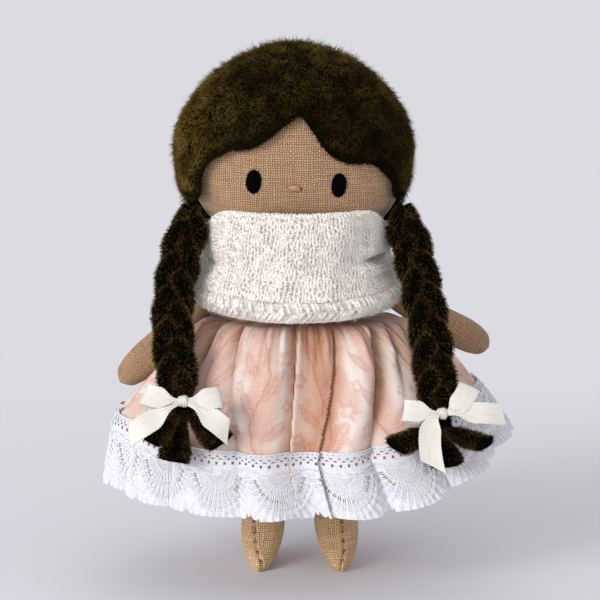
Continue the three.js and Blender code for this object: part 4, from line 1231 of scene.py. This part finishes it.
def valley_table():
    first, last = FRONT_VALLEYS[0], FRONT_VALLEYS[-1]
    around = [
        tuple(mix(last[i], first[i] + TAU, step / (BACK_VALLEYS + 1)) for i in (0, 1))
        for step in range(1, BACK_VALLEYS + 1)
    ]
    return np.array([*FRONT_VALLEYS, *around])


def fold_wave(turn, up):
    """How far the folds stand out: round ridges between sharp valleys, and fine gathers near the waist."""
    turn, up = np.broadcast_arrays(turn, up)
    valleys = valley_table()
    count = len(valleys)
    dice = np.random.default_rng(77)
    depths = np.concatenate([FOLD_DEPTHS, dice.uniform(2.2, 3.4, count - len(FOLD_DEPTHS))])
    total = np.zeros(turn.shape)
    for index in range(count):
        low = valleys[index]
        high = valleys[(index + 1) % count] + (TAU if index == count - 1 else 0)
        start, end = mix(low[1], low[0], up), mix(high[1], high[0], up)
        for wind in (-TAU, 0, TAU):
            share = (turn + wind - start) / (end - start)
            inside = (share >= 0) & (share < 1)
            ridge = np.sin(math.pi * np.clip(share, 0, 1)) ** 0.75 - 0.45
            total = total + np.where(inside, depths[index] * ridge, 0)
    for waist, hem, start, depth, wide in PLEATS:
        away = turn - mix(hem, waist, up)
        sharp, soft = np.exp(-((away / mix(0.075, 0.045, up)) ** 2)), np.exp(-(np.abs(away / wide) ** 1.5))
        drop = np.where(away < 0, sharp, soft)
        total = total - depth * drop * smooth((up - start) / 0.4)
    fade = mix(0.95, 1.2, smooth(up / 0.7)) * mix(1, 0.55, smooth((up - 0.8) / 0.2))
    fine = 0.8 * np.sin(turn * 47 + 2 * np.sin(turn * 5)) + 0.35 * np.sin(turn * 97 + 3 * np.sin(turn * 7))
    return total * fade + fine * smooth((up - 0.35) / 0.6) * (1 - 0.3 * smooth((up - 0.95) / 0.05))


def skirt_form(turn, up):
    """The skirt without its folds: flared to the hem, with a shoulder that is slim under the arms."""
    x, y = waist_outline(turn, 1.5)
    waist = np.stack([x, y, 0 * x + WAIST_HEIGHT], -1)
    right = np.sin(turn) > 0
    from_arm = np.arccos(np.clip(np.cos(turn - np.where(right, 2.05, -1.7)), -1, 1))
    room = 1 - 0.7 * np.exp(-((from_arm / np.radians(np.where(right, 20, 24))) ** 2))
    room = room + 0.42 * np.exp(-(((turn - 1.28) / 0.26) ** 2))
    reach = (SHOULDER_REACH * room)[..., None]
    shoulder = waist + outward_at(turn) * reach - np.array([0, 0, SHOULDER_FALL])
    below = np.minimum(1, up / SHOULDER_SHARE)
    above = np.clip((up - SHOULDER_SHARE) / (1 - SHOULDER_SHARE), 0, 1)
    place = mix(mix(ring_point(HEM, turn), shoulder, below[..., None]), waist, above[..., None])
    puff = 1.6 * room * np.sin(math.pi * np.clip(below, 0, 1)) ** 2
    return place + outward_at(turn) * puff[..., None]


def skirt_point(turn, up):
    """The middle of the cloth from the hem (0) to the waist (1), rounded over its shoulder."""
    turn, up = np.broadcast_arrays(turn, up)
    place = sum(skirt_form(turn, up + step) for step in (-0.08, -0.04, 0, 0.04, 0.08)) / 5
    return place + outward_at(turn) * fold_wave(turn, up)[..., None]


def make_skirt(cotton):
    columns, rows = 840, 90
    turns = full_turn(columns)[None]
    up = np.linspace(0, 1, rows)[:, None]
    tucked = np.linspace(0.3, 0.62, 14)[:, None]
    lining = lace_point(turns, tucked) - outward_at(turns + 0 * tucked) * LINING_INSET
    points = np.concatenate([lining, skirt_point(turns, up)])
    header = []
    for rise in np.linspace(0.15, 1, 9):
        x, y = waist_outline(turns[0], 1.3 + 0.5 * rise)
        pleat = 0.3 * np.sin(turns[0] * 47 + 2 * np.sin(turns[0] * 5))
        base = np.stack([x, y, 0 * x + WAIST_HEIGHT + 2.9 * rise], -1)
        header.append(base + outward_at(turns[0]) * pleat[:, None])
    points = np.concatenate([points, header])
    full = np.linspace(-PRINT_WIDTH / 2, PRINT_WIDTH / 2, columns + 1)
    down = lengths(np.median(points, axis=1), 0)
    cloth = np.stack(np.broadcast_arrays(full[None], down[:, None]), -1)
    skin = Skin()
    # Painted shade: the fold valleys, and more under the cowl's hem, are darkened through the tone number;
    # the lining and waist header get a middle share of it.
    fold_painted_shade = smooth((0.7 - fold_wave(turns, up)) / 3.4) + 0.25 * smooth((up - 0.5) / 0.2)
    tone = np.pad(fold_painted_shade, [(len(lining), len(header)), (0, 0)], constant_values=0.5)
    shell(skin, points, 0.5, cloth, closed=True, tone=tone)
    skirt = skin.dress("skirt_cotton", cotton, "dressed_body", "printed_cotton", "skirt", "waistband")


def lace_point(turn, up):
    """The lace from its edge (0) to the hem (2/3) and over it (1)."""
    turn, up = np.broadcast_arrays(turn, up)
    free = 2 / 3
    overlap = 1.4 / (WAIST_HEIGHT - HEM["height"])
    stand = outward_at(turn) * LACE_STAND
    over = np.clip((up - free) / (1 - free), 0, 1)
    bottom = ring_point(LACE, turn) + outward_at(turn) * (1.15 * fold_wave(turn, 0 * up))[..., None]
    hem = skirt_point(turn, 0 * up - overlap / 3) + stand
    top = skirt_point(turn, mix(-overlap / 3, overlap, over)) + stand
    place = mix(bottom, hem, np.clip(up / free, 0, 1)[..., None])
    return np.where((up > free)[..., None], top, place)


def make_lace(lace, lace_thread):
    """Cotton lace with real holes: one scallop to a fan, ribs and picots of thread on it."""
    per_fan, rows = 96, 90
    columns = FANS * per_fan
    phase = math.radians(6)
    turns = full_turn(columns)
    fan = (turns + phase) * FANS / TAU
    across = (fan - np.round(fan))[None]
    q = np.linspace(0, 1, rows)[:, None]
    x = across * FAN_WIDE
    edge = SCALLOP * (1 - (2 * np.abs(across)) ** 2) - SCALLOP / 2
    picots = np.abs(np.sin(math.pi * 8.5 * (across + 0.5)))
    drop = edge + (picots**0.55 - 0.6) * 1.5 * smooth((0.1 - q) / 0.1)
    y = (1 - q) * LACE_TALL
    up = q - drop * (1 - q) ** 1.5 / (LACE_TALL * 1.05) * 0.9
    height = lace_point(turns[None] + 0 * q, up)
    radius = np.sqrt(x**2 + (y - FAN_ROOT) ** 2)
    angle = np.arctan2(x, y - FAN_ROOT)
    holes = np.zeros((rows, columns), bool)
    u = fan[None] * FAN_WIDE + 0 * q
    for level, pitch, half_x, half_y, offset in HOLE_ROWS:
        place = u / pitch + offset / pitch
        near = place - np.round(place)
        holes |= np.abs(near * pitch / half_x) ** 1.4 + np.abs((y - level) / half_y) ** 1.4 < 1
    spoke = angle * RIBS / RIB_SPREAD
    gap = np.abs(spoke - np.floor(spoke) - 0.5)
    holes |= (np.abs(radius - 6.6) < 0.32) & (gap < 0.2) & (np.abs(angle) < 1.25) & (y > FAN_ROOT)
    relief = 0.2 * np.cos(TAU * spoke) * smooth((radius - 2) / 2) * (y > FAN_ROOT)
    relief = relief + 0.3 * np.exp(-(((radius - 9.4) / 0.5) ** 2)) * (y > FAN_ROOT)
    relief = relief + 0.22 * np.exp(-(((y - 2.6) / 0.4) ** 2)) + 0.2 * np.exp(-(((y - 0.4) / 0.45) ** 2))
    points = height + outward_at(turns[None] + 0 * q) * relief[..., None]
    keep = ~(holes[:-1] | holes[1:] | np.roll(holes, -1, 1)[:-1] | np.roll(holes, -1, 1)[1:])
    full = np.linspace(-LACE_WIDTH / 2, LACE_WIDTH / 2, columns + 1)
    cloth = np.stack(np.broadcast_arrays(full[None], q * LACE_TALL), -1)
    skin = Skin()
    skin.grid(points, cloth, keep=keep)
    sheet = skin.build("lace_cloth", lace)
    threads = Skin()

    def thread(path_fan, path_y, radius, lift):
        """A thread on the lace: places in fans round it and millimetres down it."""
        turn = path_fan * TAU / FANS - phase
        local = path_fan - np.round(path_fan)
        sag = SCALLOP * (1 - (2 * np.abs(local)) ** 2) - SCALLOP / 2
        share = 1 - path_y / LACE_TALL
        share = share - sag * (1 - share) ** 1.5 / (LACE_TALL * 1.05) * 0.9
        out = outward_at(turn)
        place = lace_point(turn, share) + out * lift
        threads.tubes(place, out, radius, 4, tone=random.uniform(0.2, 0.8, 1), caps=False)

    fans = np.arange(FANS)[:, None] - FANS // 2

    def fan_thread(angle, reach, radius, lift):
        """A thread in every fan: angles from straight down, and how far from the fan's root."""
        down = FAN_ROOT + np.cos(angle) * reach + 0 * fans
        thread(fans + np.sin(angle) * reach / FAN_WIDE, down, radius, lift)

    for rib_angle in (np.arange(RIBS + 1) - RIBS / 2) * RIB_SPREAD / RIBS:
        fan_thread(rib_angle, np.linspace(1.2, 9.8, 14)[None], 0.17, 0.1)
    sweep = np.linspace(-1.3, 1.3, 90)[None]
    for ring in (3.2, 5.2, 8.0, 9.4):
        fan_thread(sweep, ring + 0.22 * np.cos(sweep * 40), 0.2, 0.12)
    around = np.linspace(-FANS / 2, FANS / 2, FANS * 24 + 1)[None]
    for level, swing in ((0.3, 0.0), (8.6, 0.5)):
        thread(around, level + swing * np.cos(TAU * around), 0.2, 0.15)
    dress(sheet, "dressed_body", "cotton_lace", "lace_trim")
    net = threads.dress("lace_threads", lace_thread, "dressed_body", "cotton_lace")


# Print of the skirt: a wavy vine with soft leaves and small blossoms on a washed ground

def tile(shader, u, v, wide, tall, shift):
    """Coordinates inside a half-drop repeat, centred on each tile."""
    column = shader.math("FLOOR", shader.over(u, wide))
    odd = shader.times(shader.math("MODULO", shader.math("ABSOLUTE", column), 2.0), tall * shift)
    x = shader.minus(u, shader.times(shader.plus(column, 0.5), wide))
    dropped = shader.plus(v, odd)
    row = shader.math("FLOOR", shader.over(dropped, tall))
    y = shader.minus(dropped, shader.times(shader.plus(row, 0.5), tall))
    return x, y


def blossom(shader, x, y, centre, size, petals=5, soft=0.5):
    """A flower in the tile: 1 inside and 0 outside, and how far a place lies from its middle."""
    dx, dy = shader.minus(x, centre[0]), shader.minus(y, centre[1])
    angle = shader.math("ARCTAN2", dy, dx)
    away = shader.math("SQRT", shader.plus(shader.times(dx, dx), shader.times(dy, dy)))
    lobes = shader.math("ABSOLUTE", shader.math("COSINE", shader.times(angle, petals / 2)))
    rim = shader.math("MULTIPLY_ADD", lobes, size * 0.45, size * 0.55)
    return shader.ramp(shader.minus(rim, away), -soft / 2, soft / 2), away


def leaf(shader, x, y, centre, degrees, half, soft=0.3):
    """A pointed leaf in the tile: 1 inside and 0 outside, and how far a place lies from its vein."""
    dx, dy = shader.minus(x, centre[0]), shader.minus(y, centre[1])
    cos, sin = math.cos(math.radians(degrees)), math.sin(math.radians(degrees))
    along = shader.math("MULTIPLY_ADD", dx, cos / half[0], shader.times(dy, sin / half[0]))
    across = shader.math("MULTIPLY_ADD", dx, -sin / half[1], shader.times(dy, cos / half[1]))
    rim = shader.minus(1.0, shader.times(along, along))
    aside = shader.math("ABSOLUTE", across)
    return shader.ramp(shader.minus(rim, aside), -soft / 2, soft / 2), aside


TILE = (19.0, 25.0)
# Leaves of a tile: middle, turn in degrees, half length and half width
LEAVES = [
    ((3.9, 3.4), 52, (4.8, 1.9)), ((-3.6, -1.6), 128, (5.0, 2.0)), ((4.3, -7.6), 40, (4.4, 1.8)),
    ((-4.6, 8.2), 140, (4.3, 1.7)), ((0.6, 10.6), 80, (3.0, 1.2)),
]
# Blossoms of a tile: middle, size, petals
BLOSSOMS = [((7.4, 9.6), 2.6, 5), ((-7.2, -8.2), 2.3, 5), ((7.6, -1.6), 1.6, 4), ((-7.8, 2.6), 1.7, 5)]


def print_material():
    shader = Shader("printed_cotton")
    height, _, tone = weave(shader, COTTON_PITCH, 0.05)
    u, v = shader.cloth()
    wobble = shader.noise(shader.vector(u, v), 0.28, 3.0)
    u2 = shader.math("MULTIPLY_ADD", wobble, 2.6, u)
    v2 = shader.math("MULTIPLY_ADD", shader.noise(shader.vector(v, u), 0.3), 2.6, v)
    wash = shader.ramp(shader.noise(shader.vector(u, v, 3.0), 0.12, 3.0), 0.4, 0.62)
    colour = shader.blend(wash, (222, 207, 199), (208, 176, 162))
    x, y = tile(shader, u2, v2, *TILE, 0.5)
    band = shader.math("COSINE", shader.times(x, TAU / TILE[0]))
    colour = shader.blend(shader.ramp(band, -0.2, 1.0, 0.0, 0.55), colour, (202, 148, 126))
    vine = shader.math("SINE", shader.times(y, TAU / TILE[1]))
    off = shader.math("ABSOLUTE", shader.math("MULTIPLY_ADD", vine, -2.2, x))
    colour = shader.blend(shader.ramp(off, 0.75, 0.15, 0.0, 0.55), colour, (190, 116, 92))
    for centre, degrees, half in LEAVES:
        mask, aside = leaf(shader, x, y, centre, degrees, half)
        inked = shader.blend(shader.ramp(aside, 0.02, 0.16), (214, 174, 156), (192, 122, 98))
        inked = shader.blend(shader.ramp(aside, 0.2, 0.9), inked, (202, 142, 120))
        colour = shader.blend(shader.times(mask, 0.5), colour, inked)
    for centre, size, petals in BLOSSOMS:
        mask, away = blossom(shader, x, y, centre, size, petals)
        inked = shader.blend(shader.ramp(away, size * 0.2, size * 0.5), (226, 204, 192), (198, 130, 108))
        colour = shader.blend(shader.times(mask, 0.42), colour, inked)
    fine = shader.blend(shader.ramp(height, 0.1, 0.6, 0.84, 1.0), (96, 60, 44), colour)
    fine = shader.blend(shader.ramp(tone, 0.3, 0.7, 0.0, 0.18), fine, (250, 240, 236))
    # Painted shade: the cloth's tone number multiplies the print toward tan in the fold valleys, under the
    # hem and on the lining and header.
    fine = shader.blend(shader.times(shader.attribute("tone"), 0.85), fine, (216, 188, 164), "MULTIPLY")
    return shader.finish(fine, 0.88, shader.bump(height, 0.09, 0.6))


def lace_material():
    shader = Shader("lace_cotton")
    height, _, tone = weave(shader, LACE_PITCH, 0.1)
    colour = shader.blend(shader.ramp(tone, 0.3, 0.7), (208, 207, 212), (228, 228, 233))
    colour = shader.blend(shader.ramp(height, 0.1, 0.55), (196, 194, 201), colour)
    return shader.finish(colour, 0.9, shader.bump(height, 0.12, 0.7))


def satin_material():
    shader = Shader("satin")
    u, v = shader.cloth()
    lines = shader.noise(shader.vector(shader.times(u, 0.12), shader.times(v, 3.4)), 1.6, 3.0)
    crush = shader.noise(shader.vector(u, v, 2.0), 0.35, 2.0)
    colour = shader.blend(shader.ramp(lines, 0.35, 0.7), (202, 198, 189), (217, 213, 205))
    rough = shader.ramp(lines, 0.3, 0.7, 0.46, 0.56)
    height = shader.math("MULTIPLY_ADD", crush, 1.2, shader.times(lines, 0.4))
    return shader.finish(colour, rough, shader.bump(height, 0.05, 0.3), Anisotropic=0.3)


def knit_ground_material():
    shader = Shader("knit_ground")
    fine = shader.noise(shader.place(), 1600.0, 4.0, 0.65)
    colour = shader.blend(shader.ramp(fine, 0.3, 0.7), (244, 235, 224), (253, 247, 239))
    return shader.finish(colour, 0.95, shader.bump(fine, 0.3))


# Floor, light, camera

WALL = (220, 219, 225)


def make_stage():
    """A pale floor that runs out into the backdrop's own colour behind the doll."""
    bpy.ops.mesh.primitive_plane_add(size=3.0, location=(0, 0, 0))
    floor = bpy.context.object
    floor.name = "floor"
    shader = Shader("floor_paint")
    soft = shader.noise(shader.place(), 3.0)
    colour = shader.blend(shader.ramp(soft, 0.2, 0.8), (216, 216, 222), (222, 222, 228))
    material = shader.finish(colour, 0.8)
    paint = shader.output.inputs[0].links[0].from_socket
    parts = shader.tree.nodes.new("ShaderNodeSeparateXYZ")
    glow = shader.wire(shader.tree.nodes.new("ShaderNodeEmission"), {0: shader.colour(WALL), 1: 1.0})
    path = shader.tree.nodes.new("ShaderNodeLightPath")
    choose = shader.tree.nodes.new("ShaderNodeMixShader")
    behind = shader.ramp(shader.wire(parts, {0: shader.place()}).outputs[1], 0.03, 0.3)
    share = shader.times(path.outputs["Is Camera Ray"], behind)
    shader.wire(choose, {0: share, 1: paint, 2: glow.outputs[0]})
    shader.tree.links.new(choose.outputs[0], shader.output.inputs[0])
    floor.data.materials.append(material)


def make_light():
    world = bpy.data.worlds.new("studio")
    bpy.context.scene.world = world
    world.use_nodes = True
    nodes, links = world.node_tree.nodes, world.node_tree.links
    nodes.clear()
    output = nodes.new("ShaderNodeOutputWorld")
    fill, backdrop = nodes.new("ShaderNodeBackground"), nodes.new("ShaderNodeBackground")
    fill.inputs[0].default_value = (0.97, 0.97, 1.0, 1)
    fill.inputs[1].default_value = 0.62
    backdrop.inputs[0].default_value = Shader.colour(WALL)
    backdrop.inputs[1].default_value = 1.0
    path = nodes.new("ShaderNodeLightPath")
    seen = nodes.new("ShaderNodeMath")
    seen.operation = "MAXIMUM"
    links.new(path.outputs["Is Camera Ray"], seen.inputs[0])
    links.new(path.outputs["Is Glossy Ray"], seen.inputs[1])
    choose = nodes.new("ShaderNodeMixShader")
    links.new(seen.outputs[0], choose.inputs[0])
    links.new(fill.outputs[0], choose.inputs[1])
    links.new(backdrop.outputs[0], choose.inputs[2])
    links.new(choose.outputs[0], output.inputs[0])
    for name, place, size, power in (
        ("key", (-0.82, -0.82, 0.5), 0.5, 10.0), ("front", (-0.3, -1.1, 0.06), 0.8, 5.0),
        ("side", (0.9, -0.35, 0.6), 0.8, 1.1), ("rear", (0.1, 0.9, 0.9), 0.9, 1.6),
    ):
        lamp = bpy.data.lights.new(name, "AREA")
        lamp.energy = power
        lamp.size = size
        made = bpy.data.objects.new(name, lamp)
        bpy.context.scene.collection.objects.link(made)
        made.location = place
        aim = Matrix.Translation(place).inverted() @ Matrix.Translation((0, 0, 0.08))
        made.rotation_euler = aim.translation.to_track_quat("-Z", "Y").to_euler()


def make_camera():
    camera = bpy.data.objects.new("camera", bpy.data.cameras.new("camera"))
    bpy.context.scene.collection.objects.link(camera)
    x, _, z = CAMERA_AIM
    place = (x, -CAMERA_DISTANCE * math.cos(CAMERA_PITCH), z + CAMERA_DISTANCE * math.sin(CAMERA_PITCH))
    camera.location = metres(place)
    camera.rotation_euler = (math.pi / 2 - CAMERA_PITCH, 0, 0)
    camera.data.lens = CAMERA_LENS
    camera.data.clip_start = 0.01
    bpy.context.scene.camera = camera


def main():
    make_camera()
    make_stage()
    make_light()
    linen = linen_material("linen_body", 4.0)
    # Painted light: the legs' linen is made brighter, against the shade the skirt casts on them.
    leg_linen_painted_light = linen_material("linen_legs_painted_light", 6.0, 1.32)
    felt = felt_material("fleece_ground", (6, 5, 1), (30, 24, 9))
    hair_wool = wool_material("hair_fleece", (14, 11, 2), (190, 154, 78))
    braid_felt = felt_material("braid_ground", (2, 1, 0), (10, 8, 3))
    braid_wool = wool_material("braid_fleece", (5, 3, 1), (150, 122, 66))
    black = thread_material("black_thread", (1, 1, 1), (6, 5, 5), 0.5, 0.9, 0.03, 0.03)
    brown = thread_material("dark_thread", (58, 36, 22), (104, 74, 50))
    tan = thread_material("tan_thread", (116, 72, 40), (216, 170, 124))
    knit = thread_material("knit_yarn", (246, 238, 228), (255, 252, 247), 0.9, 0.95, 0.08, 0.1)
    knit_ground = knit_ground_material()
    satin = satin_material()
    lace_thread = thread_material("lace_thread", (216, 215, 219), (240, 240, 244), 0.6, 0.9, 0.04)
    selvedge = thread_material("selvedge", (176, 172, 158), (240, 238, 230), 0.95, 0.5, 0.05)
    make_head(linen_material("linen_face"))
    for label in EYES:
        make_eye(label, black)
    make_nose(tan, black)
    make_torso(linen)
    for label in LEGS:
        make_leg(label, leg_linen_painted_light, brown)
    for label in ARMS:
        make_arm(label, linen)
    for part in ("front", "back"):
        make_hair(part, felt, hair_wool)
    for label in BRAIDS:
        make_braid(label, braid_felt, braid_wool, black)
        make_bow(label, satin, selvedge)
    make_cowl(knit, knit_ground)
    make_cowl_hem(knit, knit_ground)
    make_skirt(print_material())
    make_lace(lace_material(), lace_thread)


main()
scene = bpy.context.scene
scene.view_settings.view_transform = "Standard"
